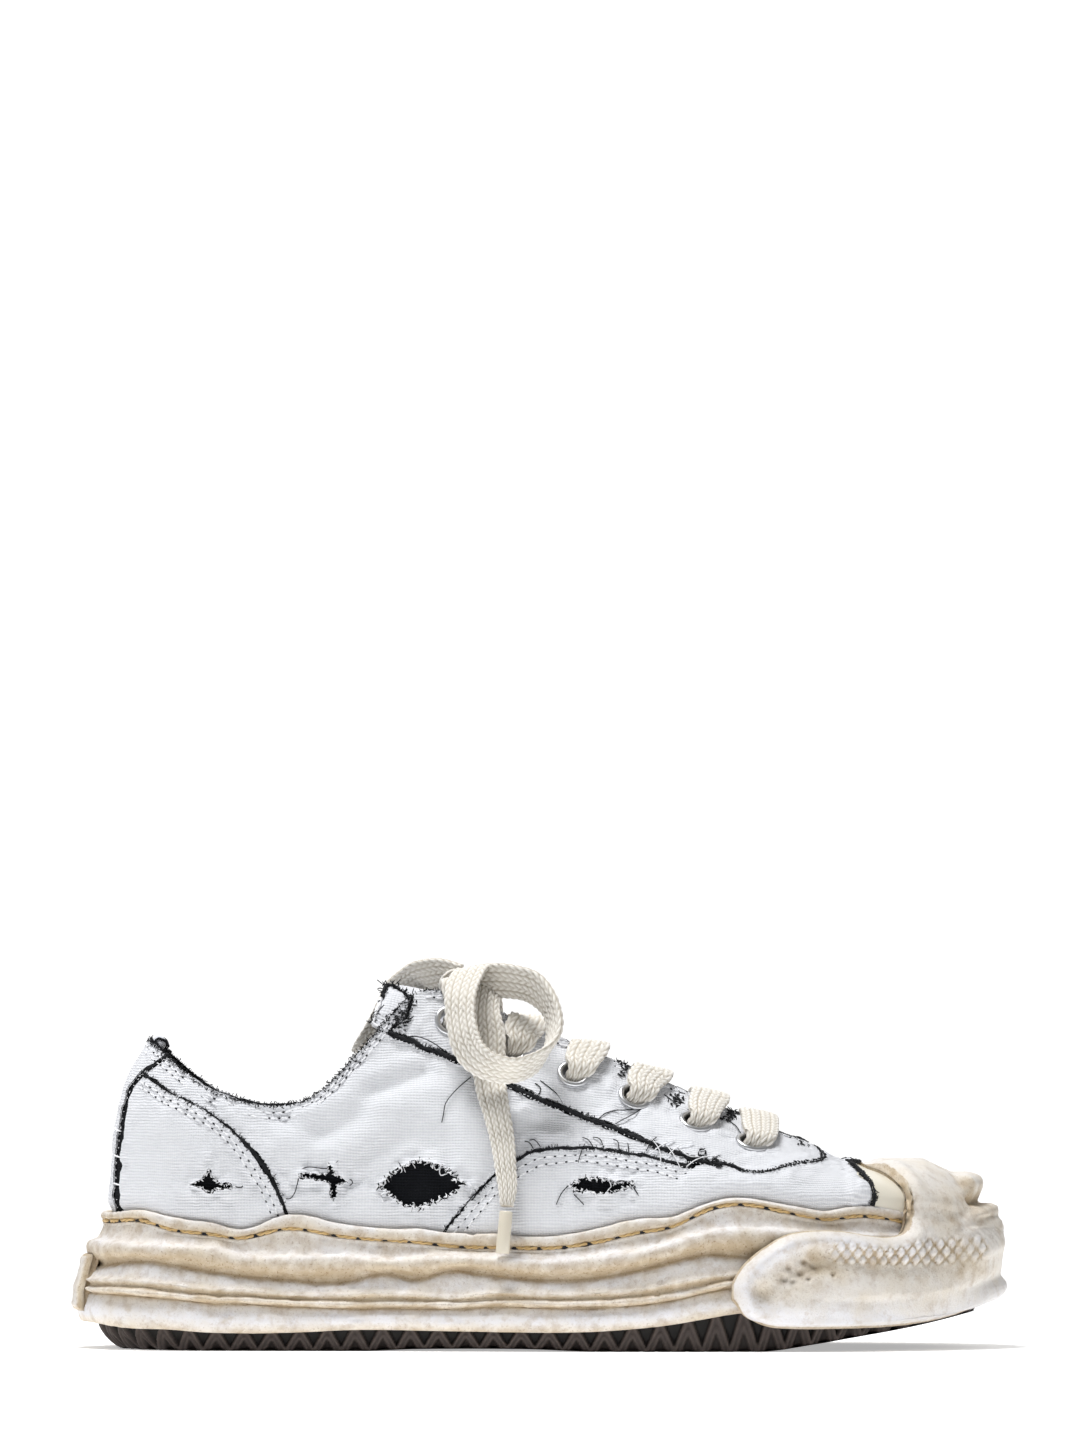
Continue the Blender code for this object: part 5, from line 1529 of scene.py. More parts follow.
LOOP_FAR = table(LACE_COLUMNS, """
-26 -2 124 0.3 -0.5 0.8 9
-32.5 3 125.2 0.05 -0.45 0.9 11
-37.8 8.5 124.6 -0.2 -0.5 0.85 12
-42.4 15 123.9 -0.6 -0.6 0.45 11.5
-47.2 22.5 120 -0.75 -0.5 0.4 11.5
-50.8 28.5 110.6 -0.82 -0.25 0.5 12.5
-54.2 31.5 104.4 -0.85 -0.1 0.5 12.5
-57.2 34 99.4 -0.84 0.05 0.5 12.5
-58.6 38 96.6 -0.82 0.1 0.55 12.5
-57.4 41.5 98.6 -0.82 0.1 0.5 12.5
-52.8 40 105.6 -0.84 0 0.45 12.5
-46.6 35.5 112.4 -0.85 -0.2 0.4 12.5
-40.4 29 118 -0.85 -0.35 0.3 12
-34.8 21.6 121.6 -0.85 -0.4 0.1 11
-30.2 14 118.8 -0.8 -0.5 0 10
-27 6.5 118.4 -0.8 -0.5 0 9
""")
END_NEAR = table(LACE_COLUMNS, """
-18.6 -10.5 118.8 0.92 0 -0.35 9
-17.6 -17.5 118.8 0.92 0 -0.38 9.5
-18.2 -23.4 112.5 0.95 0 -0.3 10.5
-17.3 -26.6 104 0.97 -0.1 -0.1 12
-17 -29.4 95.5 0.98 -0.1 0.1 11.6
-16.2 -33.6 87 0.97 -0.15 0.2 11
-14.4 -38.1 79 0.96 -0.2 0.25 9.6
-12.5 -41.3 70 0.97 -0.15 0.2 8.4
-11.4 -44.9 61 0.98 -0.1 0.1 7.7
-10.7 -47.7 53.5 1 0 0 6.6
-11 -49.5 48 1 0 0 4.6
""")
END_FAR = table(LACE_COLUMNS, """
-18 11 123 0.92 0 -0.35 9
-17.6 18.5 121.6 0.92 0 -0.38 9.5
-17.6 25 114 0.95 0 -0.3 10.5
-17.8 28.8 104.5 0.97 0.1 -0.1 12
-17.2 31.2 95 0.95 0.1 0.1 11.6
-15.6 33.6 84.5 0.95 0.15 0.3 10.6
-13 35.6 74 0.97 0.1 0.2 9.2
-11.6 36.8 64.5 0.98 0.1 0.1 8
-11 37.8 56 1 0 0 6.8
-11.2 38.9 49.5 1 0 0 4.6
""")
AGLET_NEAR = ((-11.1, -49.8, 47.2), (-12.4, -50.9, 32.4))
AGLET_FAR = ((-11.3, 39.2, 48.8), (-12.2, 40.5, 34))
KNOT_AT = (-25, 0.5, 121.4)
PLAITS = 8                             # columns of plaits across the lace
PLAIT_LONG = 2.6                       # one plait along it


def braid(along, across):
    """Height of the braid, 0 to 1: slanting plaits in columns that lean to and fro."""
    number = np.floor(across)
    part = across - number
    way = np.where(number % 2 == 0, 1, -1)
    phase = along / PLAIT_LONG + way * (part - 0.5) * 0.75 + 0.5 * number
    return np.abs(np.sin(math.pi * phase)) ** 0.7 * np.sin(math.pi * part) ** 0.4


def lace_mesh(routes, seed=0):
    """Points, faces, braid height and middles of laces along (point, across, width, thick) rows."""
    sides, all_points, all_faces, all_braid, centres = 60, [], [], [], []
    turn = np.linspace(0, 2 * math.pi, 721)
    total = 0
    for rows in routes:
        rows = np.array([[*point, *across, wide, thick] for point, across, wide, thick in rows], float)
        run = run_of(rows[:, :3])
        ats = np.linspace(0, run[-1], round(run[-1] * 4))
        dense = np.stack([curve(list(zip(run, rows[:, k])))(ats) for k in range(8)], 1)
        run = run_of(dense[:, :3])
        ats = np.linspace(0, run[-1], max(round(run[-1] / 0.68), 4))
        dense = sampled(dense, run, ats)
        middle, across = dense[:, :3], dense[:, 3:6]
        way = unit(np.gradient(middle, axis=0))
        across = unit(across - way * (across * way).sum(1, keepdims=True))
        face = np.cross(way, across)
        half = dense[:, 6:7] / 2 * (1 + 0.04 * noise(middle, 9, seed + 81))[:, None]
        deep = dense[:, 7:8] / 2
        # Section: flat with full round edges, its points evenly spaced round it
        shape = stack(powered(np.cos(turn), 0.62), powered(np.sin(turn), 0.9))
        flat_run = run_of(shape * [5, 1])
        spaced = np.linspace(0, flat_run[-1], sides, endpoint=False)
        one, two = (np.interp(spaced, flat_run, shape[:, k]) for k in (0, 1))
        plaits = braid(ats[:, None], (one[None] * 0.5 + 0.5) * PLAITS * 0.999 + 0 * ats[:, None])
        cup = 0.35 * noise(middle, 14, seed + 82)[:, None] * (one[None] ** 2 - 0.4)
        points = (middle[:, None] + across[:, None] * (half * one)[..., None]
                  + face[:, None] * (deep * two + cup)[..., None])
        normals = surface_normals(points, closed=False)
        if ((normals[len(points) // 2] * (points - middle[:, None])[len(points) // 2]).sum(-1)).mean() < 0:
            normals = -normals
        points = points + normals * ((plaits - 0.6) * 0.8 + 0.06 * noise(points, 1.1, seed + 83))[..., None]
        all_faces += tube_faces(len(points), sides, total)
        all_points.append(points.reshape(-1, 3))
        all_braid.append(plaits.ravel())
        centres.append(middle)
        total += points.shape[0] * sides
    return np.concatenate(all_points), all_faces, np.concatenate(all_braid), centres


def lace_piece(name, routes, replaces, seed=0):
    points, faces, plaits, centres = lace_mesh(routes, seed)
    made = piece(name, points, faces, LACE_COTTON, "lace_cotton", replaces, fields={"plait": plaits})
    tidy = bmesh.new()
    tidy.from_mesh(made.data)
    bmesh.ops.recalc_face_normals(tidy, faces=tidy.faces)
    tidy.to_mesh(made.data)
    tidy.free()
    return made, centres


def free_lace(name, rows, replaces, seed):
    """One free stretch of lace from its table; its length and middle line are worked out but not used."""
    route = [(row[:3], row[3:6], row.wide, LACE_THICK + 0.8 * (LACE_WIDE - row.wide) / LACE_WIDE)
        for row in rows]
    made, (middle,) = lace_piece(name, [route], [replaces], seed)
    round(float(run_of(middle)[-1] * MM), 4)
    [tuple(point * MM) for point in middle]


def make_aglet(name, ends, replaces):
    """Tip of the lace rolled tight in clear film, cut square."""
    top, tip = np.array(ends[0]), np.array(ends[1])
    way = unit(top - tip)
    one = unit(np.cross(way, [0, 1, 0]))
    two = np.cross(way, one)
    sides, rings = 28, []
    for reach, radius in ((0, 0.2), (0, 1.7), (0, 2), (0.25, 2.12), (5, 2.06), (10, 2.1), (13.6, 2.12),
            (14, 1.95), (14, 1.75), (13.2, 1.6), (13.2, 0.2)):
        turn = np.linspace(0, 2 * math.pi, sides, endpoint=False)
        dent = radius * (1 + 0.035 * np.cos(2 * turn + reach * 0.2))[:, None]
        rings.append(tip + way * reach + dent * (one * np.cos(turn)[:, None] * 1.08 + two * np.sin(turn)[:,
            None]))
    return piece(name, rings, tube_faces(len(rings), sides), AGLET_FILM, "aglet_plastic", [replaces])


def make_bow():
    """The two loops, the two hanging ends with their tips, and the knot."""
    aglet_near = make_aglet("aglet_film_near", AGLET_NEAR, "aglet_near")
    aglet_far = make_aglet("aglet_film_far", AGLET_FAR, "aglet_far")
    x, y, z = KNOT_AT
    turn = np.linspace(-0.6, 2 * math.pi - 0.2, 17)
    wrap = [((x + 7.2 * math.cos(a), y - 1 + 2.2 * math.sin(a / 2), z + 4.6 * math.sin(a)), (0.12, 1, 0), 11,
        2.4) for a in turn]
    core = [((x + 4, y - 9, z + 0.5), (0.6, 0, 0.8), 9, 5), ((x, y, z + 0.5), (0.5, 0, 0.85), 9.5, 6),
            ((x - 4, y + 9, z + 0.5), (0.6, 0, 0.8), 9, 5)]
    knot, _ = lace_piece("bow_knot", [wrap, core], ["lace_knot"], 5)
    free_lace("bow_loop_near", LOOP_NEAR, "lace_loop_near", 1)
    free_lace("bow_loop_far", LOOP_FAR, "lace_loop_far", 2)
    free_lace("bow_end_near", END_NEAR, "lace_end_near", 3)
    free_lace("bow_end_far", END_FAR, "lace_end_far", 4)


def eyelet_frame(name):
    """Place, centre, outward normal, way up to the throat's edge and way forward."""
    s, f = EYELET_SPOTS[name]
    centre = on_cloth(s, f)
    normal = at(CLOTH_NORMAL, s, f)
    climb = unit(on_cloth(s, min(f + 0.03, 1)) - on_cloth(s, f - 0.03))
    forward = np.cross(climb, normal)
    forward *= np.sign(forward[0])
    return s, f, centre, normal, climb, forward


LEAN_FORWARD = {1: 1.5, 2: 4.5, 3: 6, 4: 5, 5: 5, 6: 1.5}


def half_bar(pair, word):
    """Lace from inside the shoe up through an eyelet and over the throat's edge."""
    s, f, centre, normal, climb, forward = eyelet_frame(f"{pair}_{word}")
    way = 1 if word == "outer" else -1
    rows = [
        (centre - normal * 4.6 - climb * 1, forward, 6.2, 3.2),
        (centre - normal * 1 - climb * 0.2 + forward * 0.5, forward, 6.4, 4.4),
        (centre + normal * 1.8 + climb * 0.5 + forward * 1.6, forward, 8, 4),
        (centre + normal * 3.2 + climb * 2.2 + forward * 2.4, forward, 10.6, 3.2),
    ]
    for part, wide, lift in ((0.5, 12.8, 3.2), (0.8, 13.6, 3), (1, 13.8, 2.6)):
        here_s, here_f = s + way * max(LEAN_FORWARD[pair] * part, 2.6), f + (1 - f) * part
        rows.append((on_cloth(here_s, here_f, lift), forward, wide, 2.7))
    return rows


def make_lacing():
    """Bars over the throat, through the eyelets, and legs from the top pair to the knot."""
    routes = []
    for pair in range(1, 6):
        halves = [half_bar(pair, word) for word in ("outer", "inner")]
        edges = [half[-1][0] for half in halves]
        crown = (edges[0] + edges[1]) / 2 + [0, 0, 0.2]
        across = halves[0][-1][1] + halves[1][-1][1]
        over = [((crown * 2 + edge) / 3 + [0, 0, 0.5], across, 13.4, 2.7) for edge in edges]
        routes.append(halves[0] + [over[0], (crown, across, 13.2, 2.7), over[1]] + halves[1][::-1])
    knot = np.array(KNOT_AT)
    for side, word in ((-1, "outer"), (1, "inner")):
        rows = half_bar(6, word)[:-1]
        s, _ = EYELET_SPOTS[f"6_{word}"]
        edge = on_cloth(s - side * 1.5, 1, 3.2) + [0, 0, 2.2]
        rows = [(point, across, min(wide, 10.5), thick) for point, across, wide, thick in rows[:-1]]
        rows.append((edge, rows[0][1], 11, 2.7))
        rows.append((knot + [-1, side * 7.5, -0.5], rows[0][1], 9.5, 3))
        rows.append((knot + [0, side * 2, 0.5], rows[0][1], 8, 3))
        routes.append(rows)
    # Hidden stretches inside, from pair to pair on alternate sides
    for pair in range(1, 6):
        word = "outer" if pair % 2 else "inner"
        ends = [eyelet_frame(f"{number}_{word}") for number in (pair, pair + 1)]
        rows = []
        for part in (0, 0.25, 0.5, 0.75, 1):
            centre = ends[0][2] * (1 - part) + ends[1][2] * part
            normal = ends[0][3] * (1 - part) + ends[1][3] * part
            rows.append((centre - normal * (3.6 + 0.8 * math.sin(math.pi * part)), ends[0][4], 7, 1.9))
        routes.append(rows)
    lace_piece("lace_crossings", routes, [f"lace_bar_{pair}" for pair in range(1, 6)]
               + ["lace_leg_outer", "lace_leg_inner"], 6)


def make_eyelets():
    """Rolled eyelets with a full round flange and a barrel through the cloth."""
    profile = [(3.7, -2.6), (3.7, 0.7)]
    profile += [(4.65 - 0.95 * math.cos(a), 1.15 + 0.75 * math.sin(a))
        for a in np.radians(np.arange(0, 181, 20))]
    profile += [(5.6, 0.75), (5.2, 0.6), (4, 0.6), (4, -2.6)]
    profile = np.array(profile)
    sides = 36
    turn = np.linspace(0, 2 * math.pi, sides, endpoint=False)
    for name in EYELET_SPOTS:
        _, _, centre, normal, climb, forward = eyelet_frame(name)
        mesh_points = (centre + (np.cos(turn)[:, None, None] * climb + np.sin(turn)[:, None,
            None] * forward) * profile[None, :, :1] + profile[None, :, 1:] * normal)
        faces = sheet_faces(sides, len(profile), True, True)
        if np.dot(np.cross(climb, forward), normal) > 0:
            faces = faces[:, ::-1]
        piece(f"eyelet_ring_{name}", mesh_points, faces, EYELET_METAL, "eyelet_metal", [f"eyelet_{name}"])


# ---- stitches, frayed edges and loose threads

DICE = np.random.default_rng(7)


def frames_at(s, f):
    """Points of the cloth with their normals, the way along it and the way up it."""
    points, normals = on_cloth(s, f), at(CLOTH_NORMAL, s, f)
    along = on_cloth(s + 0.5, f) - on_cloth(s - 0.5, f)
    along = unit(along - normals * (along * normals).sum(1, keepdims=True))
    up = np.cross(along, normals)
    return points, normals, along, up * np.sign(up[:, 2:])


def whiskers(s, f, heading, length, lift, rise, curl):
    """Short fibres on the cloth, their heading in degrees from the way along to the way up."""
    points, normals, along, up = frames_at(s, f)
    steps = 4
    angle = np.radians(heading)
    spot = points + normals * np.broadcast_to(lift, len(s))[:, None]
    lines = [spot]
    for k in range(1, steps):
        angle = angle + np.radians(curl) * DICE.normal(0.6, 0.6,
            len(s)) * np.sign(np.sin(np.arange(len(s)) * 7.7))
        step = (along * np.cos(angle)[:, None] + up * np.sin(angle)[:, None]) * (length / steps)[:, None]
        spot = spot + step + normals * (rise / steps * (1 - 0.45 * k))[:, None]
        lines.append(spot)
    return list(np.stack(lines, 1))


def fringe(line, away, density, length, lift, rise=0.5, curl=30, fan=45, shift=0):
    """Fibres along a line, away from its own way by some degrees, left for positive."""
    line = even(np.asarray(line, float)[:, :2], 1 / density)
    count = len(line)
    way, _ = way_along(line)
    heading = np.degrees(np.arctan2(way[:, 1], way[:, 0])) + away + DICE.normal(0, fan, count)
    if shift:
        line = beside(line, shift * np.sign(away))
    size = length * DICE.uniform(0.35, 1.3, count)
    keep = DICE.random(count) < 0.85
    return whiskers(line[keep, 0], line[keep, 1], heading[keep], size[keep], lift,
        rise * DICE.uniform(0.2, 1.4, keep.sum()), curl)


def stitch_row(line, distance, base, pitch=3.4, size=2.3):
    """Dashes of thread beside a seam, and the needle hole after each of them."""
    row = even(beside(np.asarray(line, float)[:, :2], distance), 0.2)
    shown = at(ABOVE_LIP, row[:, 0], row[:, 1]) > -1
    row = row[shown & (row[:, 1] < 0.995)]
    flat = lie(row)
    run = run_of(flat)
    normal = at(CLOTH_NORMAL, row[:, 0], row[:, 1])
    path = flat + normal * canvas_lift(flat, row[:, 0], abs(distance), base)[:, None]
    dashes, holes = [], []
    for start in np.arange(1, run[-1] - pitch, pitch):
        ats = start + size * np.array([0, 0.12, 0.5, 0.88, 1])
        bow = np.array([-0.18, 0.05, 0.14, 0.05, -0.18])
        dashes.append(sampled(path, run, ats) + sampled(normal, run, ats) * bow[:, None])
        ats = start + size + (pitch - size) * np.array([0.2, 0.8])
        holes.append(sampled(path, run, ats))
    return dashes, holes


def below_top(first, last, depth):
    """A line a given distance below the topline, between two stations."""
    s = np.arange(first, last, 1)
    return stack(s, 1 - depth / at(CLOTH_GF, s, np.ones(len(s))))


TOP_ENDS = STAY[0, 0], STAY[-1, 0]


def make_stitches():
    rows = []
    for lines, flip in ((OUTER, 1), (INNER, -1)):
        rows += [(lines["heel"], -flip * depth, LIFTS["heel"]) for depth in (2.7, 4.5)]
        rows += [(lines["vamp"], -flip * depth, LIFTS["vamp"]) for depth in (2.7, 5)]
    for depth in (3, 5):
        rows.append((below_top(1, TOP_ENDS[0] - 3, depth), 0, LIFTS["quarter"]))
        rows.append((below_top(TOP_ENDS[1] + 3, TURN - 1, depth), 0, LIFTS["quarter"]))
    rows.append((below_top(TOP_ENDS[0] + 3, TIP - 8, 3.4), 0, LIFTS["eyestay"]))
    rows.append((below_top(TIP + 8, TOP_ENDS[1] - 3, 3.4), 0, LIFTS["eyestay"]))
    dashes, holes = [], []
    for line, distance, base in rows:
        more = stitch_row(line, distance, base)
        dashes += more[0]
        holes += more[1]
    # White ties across the dark stripe at the heel
    for find in FIND.values():
        for z in (72.9, 64, 54.8):
            s, f = find(-140.3, z)
            points, normals, along, _ = frames_at(np.array([s]), np.array([f]))
            offsets = np.linspace(-3.4, 3.4, 5)[:, None]
            dashes.append(points + along * offsets + [0, 0, 1] * np.linspace(0.3, -0.3, 5)[:, None]
                + normals * np.array([0.5, 1.1, 1.2, 1.1, 0.5])[:, None])
    ropes("canvas_stitches", dashes, [np.array([0.2, 0.27, 0.28, 0.27, 0.2])] * len(dashes), 5, WHITE_YARN)
    ropes("needle_holes", holes, [0.26] * len(holes), 5, BLACK_YARN)


def threads(text):
    """Loose threads in the side view: runs of (x, z), with a stroke between two."""
    return [table("x z", part) for line in text.strip().splitlines() for part in line.split(" | ")]


# Long loose threads of the dark cloth on the outer side
LOOSE = threads("""
-23 90.2; -31 82.5; -32.5 75.4 | 0 88.8; 5.3 84.3; 7.4 81.3 | -1.8 87.9; 0 86.1; -0.3 84.3
19 75.7; 22 77.8; 30.3 79; 33.9 79.5 | 33.9 79.4; 37.5 83.7; 38.2 86.4
24.4 74; 29.7 76.6; 35.1 80.1 | 14 66.5; 12.5 61.1 | 9.5 54.5; 7.4 52; 5.6 48.3
11.3 51.6; 14.6 48.3 | 30.6 54; 32.7 51 | -79.9 58.3; -79.1 59.8; -76.8 60.7; -70.5 60.4
-79.9 57.1; -81.1 52.2; -82.7 50.1; -84.1 50.2 | -68.2 61.7; -66.9 63
-64.2 56.8; -62.6 56.9; -62 54.8; -63 54.2 | 41.1 84; 47.4 78.4 | 63.5 74.5; 66.6 71
-2.2 66.5; -3.6 68.6; -5 69 | 0.2 67; -1.6 69.4; -3.4 69.4 | 17.6 67; 16 69; 14 70
21 67; 19.8 69.2; 17.4 70 | 26.2 66; 25.6 68.6; 24.2 69.4 | 29.4 65.4; 29 68.2
-49.8 106.2; -44.6 112; -43.2 118.6 | -44 103.6; -35 101; -31 98.2 | 38.5 70; 36.4 67.8; 35 65.6
-110 60; -110.2 62 | -102 54.6; -99 53.8; -98.4 55.2
""")
# White threads across the stay's seam and round the tears
WHITE_LOOSE = threads("""
36.4 69.6; 39.4 65.4; 40 60.6 | 36 64.2; 40 66.8; 44.6 68.8 | 40.8 68; 43.8 64.6; 46.4 60
42.4 64; 46 66.6; 50.6 68 | 45.4 66.6; 49 63.4; 53.6 63.2 | 48.4 60.2; 52.2 62.4; 58.4 63.4
-25.4 55.6; -22.4 54.2; -23 51.8 | -35.4 61.8; -34.4 59.4; -32.8 60.2
-33.4 60.6; -32.8 57.8; -30.6 58.4 | -49.6 52.6; -52.6 51.4; -51.8 49 | 22.6 56; 23.6 54; 22.4 52.6
-107 55.6; -104.6 56.6; -103.6 55.6
""")


def loose_threads(rows, lift, seed):
    lines = []
    for row in rows:
        spots = [FIND[-1](x, z) for x, z in row]
        line = smooth_through(spots, 0.8) if len(spots) > 2 else even(spots, 0.8)
        points = lie(line)
        t = np.linspace(0, 1, len(line))
        height = lift + 0.5 * np.sin(math.pi * t) + 0.15 * noise(points, 3, seed)
        lines.append(on_cloth(line[:, 0], line[:, 1], height))
    return lines


TUFT = np.array([0.48, 0.42, 0.3, 0.1])     # a tuft of fibres: its radius from root to tip
# Dense dark fray in the side view
PATCHES = table("x z reach number", """62.5 77 2.6 34; 44.8 81.4 2.8 34; -46 109 3.2 20
-44.4 114.6 2.6 10; 27 93 2.4 16; 88 68.4 2.2 18; 53 62.6 2 14; 57.6 61.8 2 14""")


def make_fray():
    """Frayed yarn: black along seams and topline, white on cut canvas and round tears."""
    black, white, black_tufts, white_tufts, cords = [], [], [], [], []
    for line, wide, thin, past in [(lines[name], *rest) for lines in (OUTER, INNER) for name, *rest in (
            ("stripe_top", 0.42, 0, 0), ("heel", 0.34, 0.55, -98), ("vamp", 0.3, 0.6, -2))] + [
                (STAY[STAY[:, 1] < 0.985], 0.5, 0, 0), (TOE_LINE, 0.26, 0, 0)]:
        line = line[at(ABOVE_LIP, *line.T[:2]) > 0]
        # The cap's edge stands 2 mm above the cloth, and the seam dies away over the toes
        over_edge = 2 if line[0, 0] > 290 else 0
        for side in (-1, 1):
            path = beside(line, side * 0.25)
            points = lie(path)
            wander = (0.4 + 0.25 * over_edge) * noise(points, 2.2, 101 + side)[:, None]
            lift = 0.75 + 0.35 * noise(points, 1.8, 104 + side)[:, None] + over_edge
            fade = 1 if over_edge else 1 - 0.7 * ease(60, 74, points[:, 0]) - 0.27 * ease(80, 87,
                points[:, 0])
            fade = fade * (1 - thin * ease(past, past - 14, points[:, 0]))
            fade = fade * (1 - 0.7 * ease(103, 107, points[:, 2]))
            _, normals, _, up = frames_at(path[:, 0], path[:, 1])
            cords.append((points + normals * lift + up * wander,
                wide * fade * (1 + 0.8 * noise(points, 1.4, 106 + side))))
    for away in (90, -90):
        black_tufts += fringe(TOE_LINE, away, 1.5, 1.9, 2.4, rise=0.6, shift=0.4)
        black_tufts += fringe(STAY[STAY_JOIN[0]:STAY_JOIN[1]], away, 0.9, 1.5, 1.1, rise=0.3, shift=0.3)
    for find in FIND.values():
        for x, z, reach, number in PATCHES:
            number = int(number)
            spots = np.array([find(x + dx, z + dz) for dx, dz in DICE.normal(0, reach / 2, (number, 2))])
            black_tufts += whiskers(*spots.T, DICE.normal(15, 32, number), DICE.uniform(1.4, 3.6, number),
                1.2, DICE.uniform(0, 0.8, number), 35)
    for lines in (OUTER, INNER):
        for name, base, length, density in (("stripe", 0.8, 1.1, 0.8), ("stripe_top", 0.8, 1.1, 0.8),
                ("heel", 0.9, 1.5, 1.4), ("vamp", 0.9, 1.3, 1.3)):
            line = lines[name]
            line = line[at(ABOVE_LIP, *line.T[:2]) > 1]
            for away in (90, -90):
                black += fringe(line, away, density, length, base, shift=0.2)
                white += fringe(line, away, density * 0.5, 0.9, base + 0.1, shift=0.9)
    # The stay's seam is thick at the sides and dies away over the toes
    seam = STAY[(STAY[:, 1] < 0.97)]
    front = np.nonzero(lie(seam)[:, 0] > 60)[0]
    for away in (90, -90):
        for part, density, length in ((seam[:front[0]], 1.6, 1.5), (seam[front[-1]:], 1.6, 1.5),
                (seam[front], 0.8, 0.8)):
            black += fringe(part, away, density, length, 1, shift=0.6)
            white += fringe(part, -away, 0.7, 1, 1, shift=1)
        black += fringe(TOE_LINE, away, 1.6, 1.9, 2.4, rise=0.8, shift=0.5)
    # Raw top edge: thick dark fringe with white specks
    for first, last, length, density in ((0, TOP_ENDS[0], 1.7, 2.6), (TOP_ENDS[1], TURN, 1.7, 2.6),
            (TOP_ENDS[0], 318, 1.3, 1.3), (TURN - 318, TOP_ENDS[1], 1.3, 1.3), (318, TURN - 318, 1.6, 2.4)):
        edge = below_top(first, last, 0.7)
        black += fringe(edge, 90, density, length, 0.35, rise=0.9, fan=55)
        black += fringe(edge, -90, density * 0.8, length, 0.9, rise=0.5, fan=50)
        white += fringe(below_top(first, last, 1.4), 90, density * 0.5, 1.2, 0.8, rise=0.6)
    # Tears: white fibres in and out, with a few dark ones
    for side, strength, tear in TEARS:
        spots = np.array([FIND[side](x, z) for x, z in tear + tear[:1]])
        middle = np.array(tear).mean(0)
        for step, turned, wild, size, low, high, lift, rises, curl, fibres, each in (
            (0.8, 0, 40, 1.2 * strength, 0.3, 1.4, 1.25, (0.2, 1.2), 35, white, 1),
            (0.8, 180, 40, 2.2 * (strength - 0.6), 0.3, 1.4, 1, (0.2, 1.2), 35, white, 2),
            (0.8, 0, 40, 3.2 * (strength - 0.65), 0.3, 1.4, 1.1, (0.2, 1.2), 35, black_tufts, 1),
            (0.75, 0, 38, strength * 1.3, 0.25, 1.2, 1.3, (0.4, 1.5), 45, white_tufts, 3),
            (0.75, 180, 38, strength * 1.5, 0.25, 1.2, 1.3, (0.4, 1.5), 45, white_tufts, 3),
        ):
            line = even(spots, step)
            count = len(line)
            points, _, along, up = frames_at(*line.T[:2])
            outward = points[:, [0, 2]] - middle
            heading = np.degrees(np.arctan2(outward[:, 1] * up[:, 2], outward[:, 0] * along[:, 0]))
            heading += turned + DICE.normal(0, wild, count)
            made = whiskers(*line.T[:2], heading, size * DICE.uniform(low, high, count), lift,
                strength * DICE.uniform(*rises, count), curl)
            fibres += made[::each]
    black += [line for lines in (OUTER, INNER) for line in fringe(lines["heel"][-60:-25], 90, 1.2, 2.4, 0.9)]
    white_long, black_long = loose_threads(WHITE_LOOSE, 1.2, 91), loose_threads(LOOSE, 0.9, 92)
    ropes("white_fray", white + white_long + white_tufts, [0.15] * len(white) + [0.22] * len(white_long)
          + [TUFT * size for size in DICE.uniform(0.5, 1.1, len(white_tufts))], 3, WHITE_YARN)
    ropes("black_fray", black + black_long + black_tufts, [0.15] * len(black) + [0.2] * len(black_long)
          + [TUFT * size for size in DICE.uniform(0.4, 1, len(black_tufts))], 3, BLACK_YARN)
    ropes("seam_cords", [points for points, _ in cords], [radius for _, radius in cords], 5, BLACK_YARN)


def make_heel_roll():
    """Canvas rolled over the top of the heel, with a dark raw edge on each side."""
    stations = np.linspace(-17, 17, 35)
    t = np.linspace(-1, 1, 35)
    path = place(stations % TURN, section[2][0](stations % TURN) - 2, section[2][1](stations % TURN) - 1.7)
    path = path + jitter(path, 4, 110)
    round_ends = np.sqrt(np.clip(1 - t ** 4, 0.02, 1))
    ropes("heel_roll", [path], [2.4 * round_ends], 20, WHITE_CANVAS)
    rims = []
    for at_t in (-0.86, 0.86):
        k = int(round((at_t + 1) * 17))
        way = unit(path[k + 1] - path[k - 1])
        one = unit(np.cross(way, [0, 0, 1]))
        turn = np.radians(np.arange(-40, 245, 9))[:, None]
        ring = path[k] + (one * np.cos(turn) + np.cross(one, way) * np.sin(turn)) * 2.15
        rims.append(ring + jitter(ring, 1.6, 114))
    ropes("heel_roll_edges", rims, [0.42 + 0.2 * noise(rim, 1.5, 118) for rim in rims], 6, BLACK_YARN)


# ---- tongue and insole

TONGUES = table("x crown half drop back", """
91 63 12 3 0
78 69 17 6 0
62 76.5 20 9.5 0
40 86 21.5 12.5 0
18 95.5 22.5 16 0
-2 104 23 18 0
-18 111.5 23 19.5 0
-32 117.5 23 20 1
-44 120.5 21.6 16 2.5
-52 121.5 21.5 13 4.5
""")


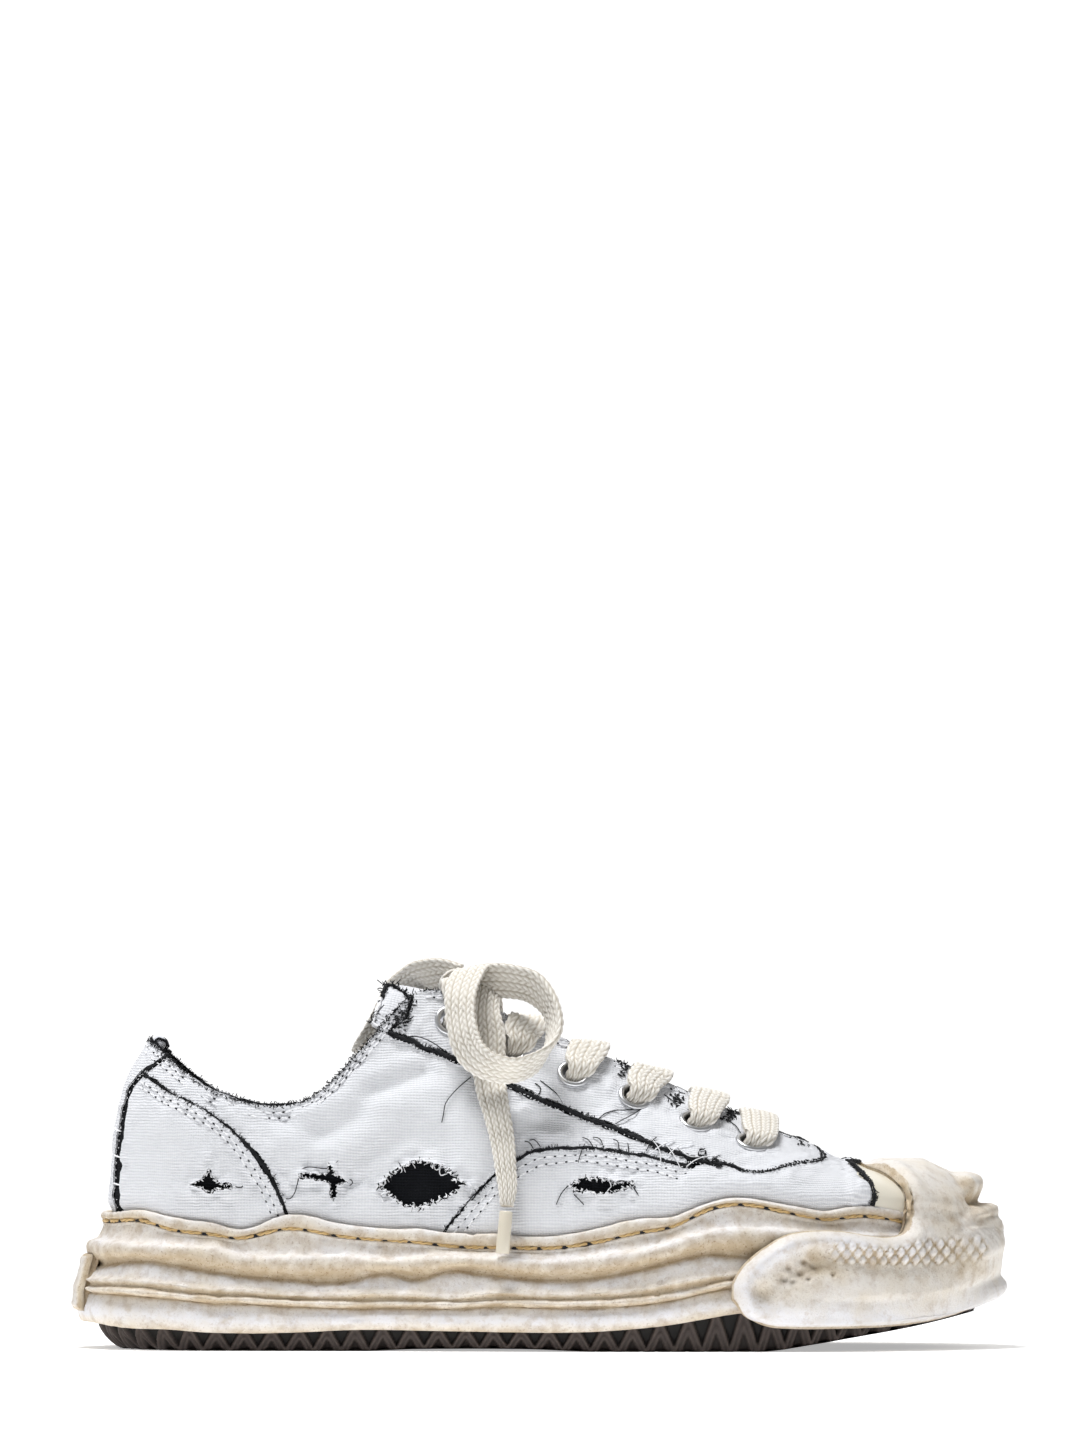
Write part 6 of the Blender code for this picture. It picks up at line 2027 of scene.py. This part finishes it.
def make_tongue():
    """Padded canvas tongue with a dark raw edge along its sides and top."""
    named = curves_of(TONGUES)
    x = np.arange(-52, 91.1, 1.3)[:, None]
    turn = np.linspace(0, 2 * math.pi, 96, endpoint=False)[None]
    part, deep = powered(np.cos(turn), 0.7), powered(np.sin(turn), 0.55)

    def skin(x, part):
        bend = np.abs(part) ** 1.6
        return stack(x - named["back"](x) * bend, spine_y(x) + named["half"](x) * part, named["crown"](x)
            - named["drop"](x) * bend)

    top = skin(x, part)
    puff = TONGUE / 2 * (0.55 + 0.45 * (1 - part ** 2)) * (1 + 0.1 * noise(top, 9, 95))
    end = np.clip((x + 52) / 2, 0, 1) ** 0.5
    middle = top - [-0.2 * TONGUE, 0, 0.46 * TONGUE]
    points = middle + stack(0.35 * deep * puff, 0, deep * puff) * (0.25 + 0.75 * end)[..., None]
    made = piece("tongue_pad", points, tube_faces(len(x), 96), WHITE_CANVAS, "canvas", ["tongue"],
        stack(x, named["half"](x) * part).reshape(-1, 2))
    # Hem: dark over the top and down the face, pale with dark specks at the sides
    t = np.linspace(0, 1, 40)
    hems = ((skin(-52 + 0 * t, 1.5 * t - 0.5), 0.65, 1.7), (skin(-51.5 + 8.1 * t, -0.05 - 0.34 * t)
        + [0, -0.3, 0.6], 0.5, 1.7), (skin(-52 + 0 * t, -0.5 * t - 0.5), 0.7, 0.6),
        (skin(-52 + 75 * t, -1), 0.7, 0.6), (skin(-52 + 75 * t, 1), 0.7, 0.6))
    dark, pale = [], []
    for line, radius, density in hems:
        line = line + [0.5, 0, -0.6] + 0.3 * np.stack([noise(line, 2 + 0.3 * k, 96 + k) for k in range(3)], 1)
        (dark if density > 1 else pale).append((line, radius * (1 + 0.3 * noise(line, 2.5, 99))))
        for start in line[DICE.integers(0, len(line), round(density * len(line)))]:
            start = start + DICE.normal(0, 0.35, 3)
            way = DICE.normal(0, 1, 3) + [-0.2, 0, 0.5]
            dark.append((np.array([start, start + way * 0.7, start + way * 1.1 + DICE.normal(0, 0.3, 3)]),
                0.16))
    ropes("tongue_hem", *zip(*dark), 6, BLACK_YARN)
    ropes("tongue_sides", *zip(*pale), 6, WHITE_YARN)


def make_insole():
    """Cloth-topped insole, pressed hollow under the heel and the ball of the foot."""
    stations = np.arange(0, TURN, 3)
    foot = inside_lip(stations) - 2.6
    rows = np.linspace(0, 1, 36)[None]
    out = foot[:, None] * rows
    up = bed_at(stations[:, None], out) + GAP + INSOLE
    spot = place(stations[:, None], out, up)
    hollow = 1.6 * np.exp(-((spot[..., 0] + 108) / 30) ** 2 - ((spot[..., 1] + 1.5) / 22) ** 2)
    hollow += 1.2 * np.exp(-((spot[..., 0] - 45) / 32) ** 2 - ((spot[..., 1] + 2) / 30) ** 2)
    top = spot - stack(0, 0, hollow - 0.25 * noise(spot, 12, 93))
    under = place(stations, foot, bed_at(stations, foot) + GAP)[:, None]
    low = place(stations, foot * 0, bed_at(stations, foot * 0) + GAP)[:, None]
    points = np.concatenate([top, under, low], 1)
    faces = sheet_faces(len(stations), points.shape[1], True, False).tolist()
    first, faces = welded(points.reshape(-1, 3), faces)
    points = points.reshape(-1, 3)[first]
    made = piece("insole_pad", points, faces, INSOLE_CLOTH, "insole_cloth", ["insole"], points[:, :2])


def make_lining_foot():
    """The dark lining's lower end, from the cut base cloth down to the insole."""
    stations = np.arange(0, TURN, 2)
    top, normal = on_cloth(stations, 0 * stations), at(CLOTH_NORMAL, stations, 0 * stations)
    foot = inside_lip(stations) - 1.2
    low = place(stations, foot - 1.4, bed_at(stations, foot) + 2)
    rings = np.stack([top - normal * 0.6, top - normal * 1.9, low,
        low + (top - normal * 0.6 - (top - normal * 1.9))], 1)
    piece("lining_foot", rings, sheet_faces(len(stations), 4, True, True), BLACK_CLOTH,
        uv=rings.reshape(-1, 3)[:, :2])


make_bow()
make_lacing()
make_eyelets()
base_cloth()
for name, (loop, seams) in PLAN.items():
    canvas_panel(name, loop, seams, LIFTS[name.split("_")[0]])
make_stitches()
make_fray()
make_heel_roll()
make_tongue()
make_insole()
make_lining_foot()
make_sole_wall()
lip_stitches()
make_toe_guard()
make_toe_cap()
make_heel_patch()
make_outsole()
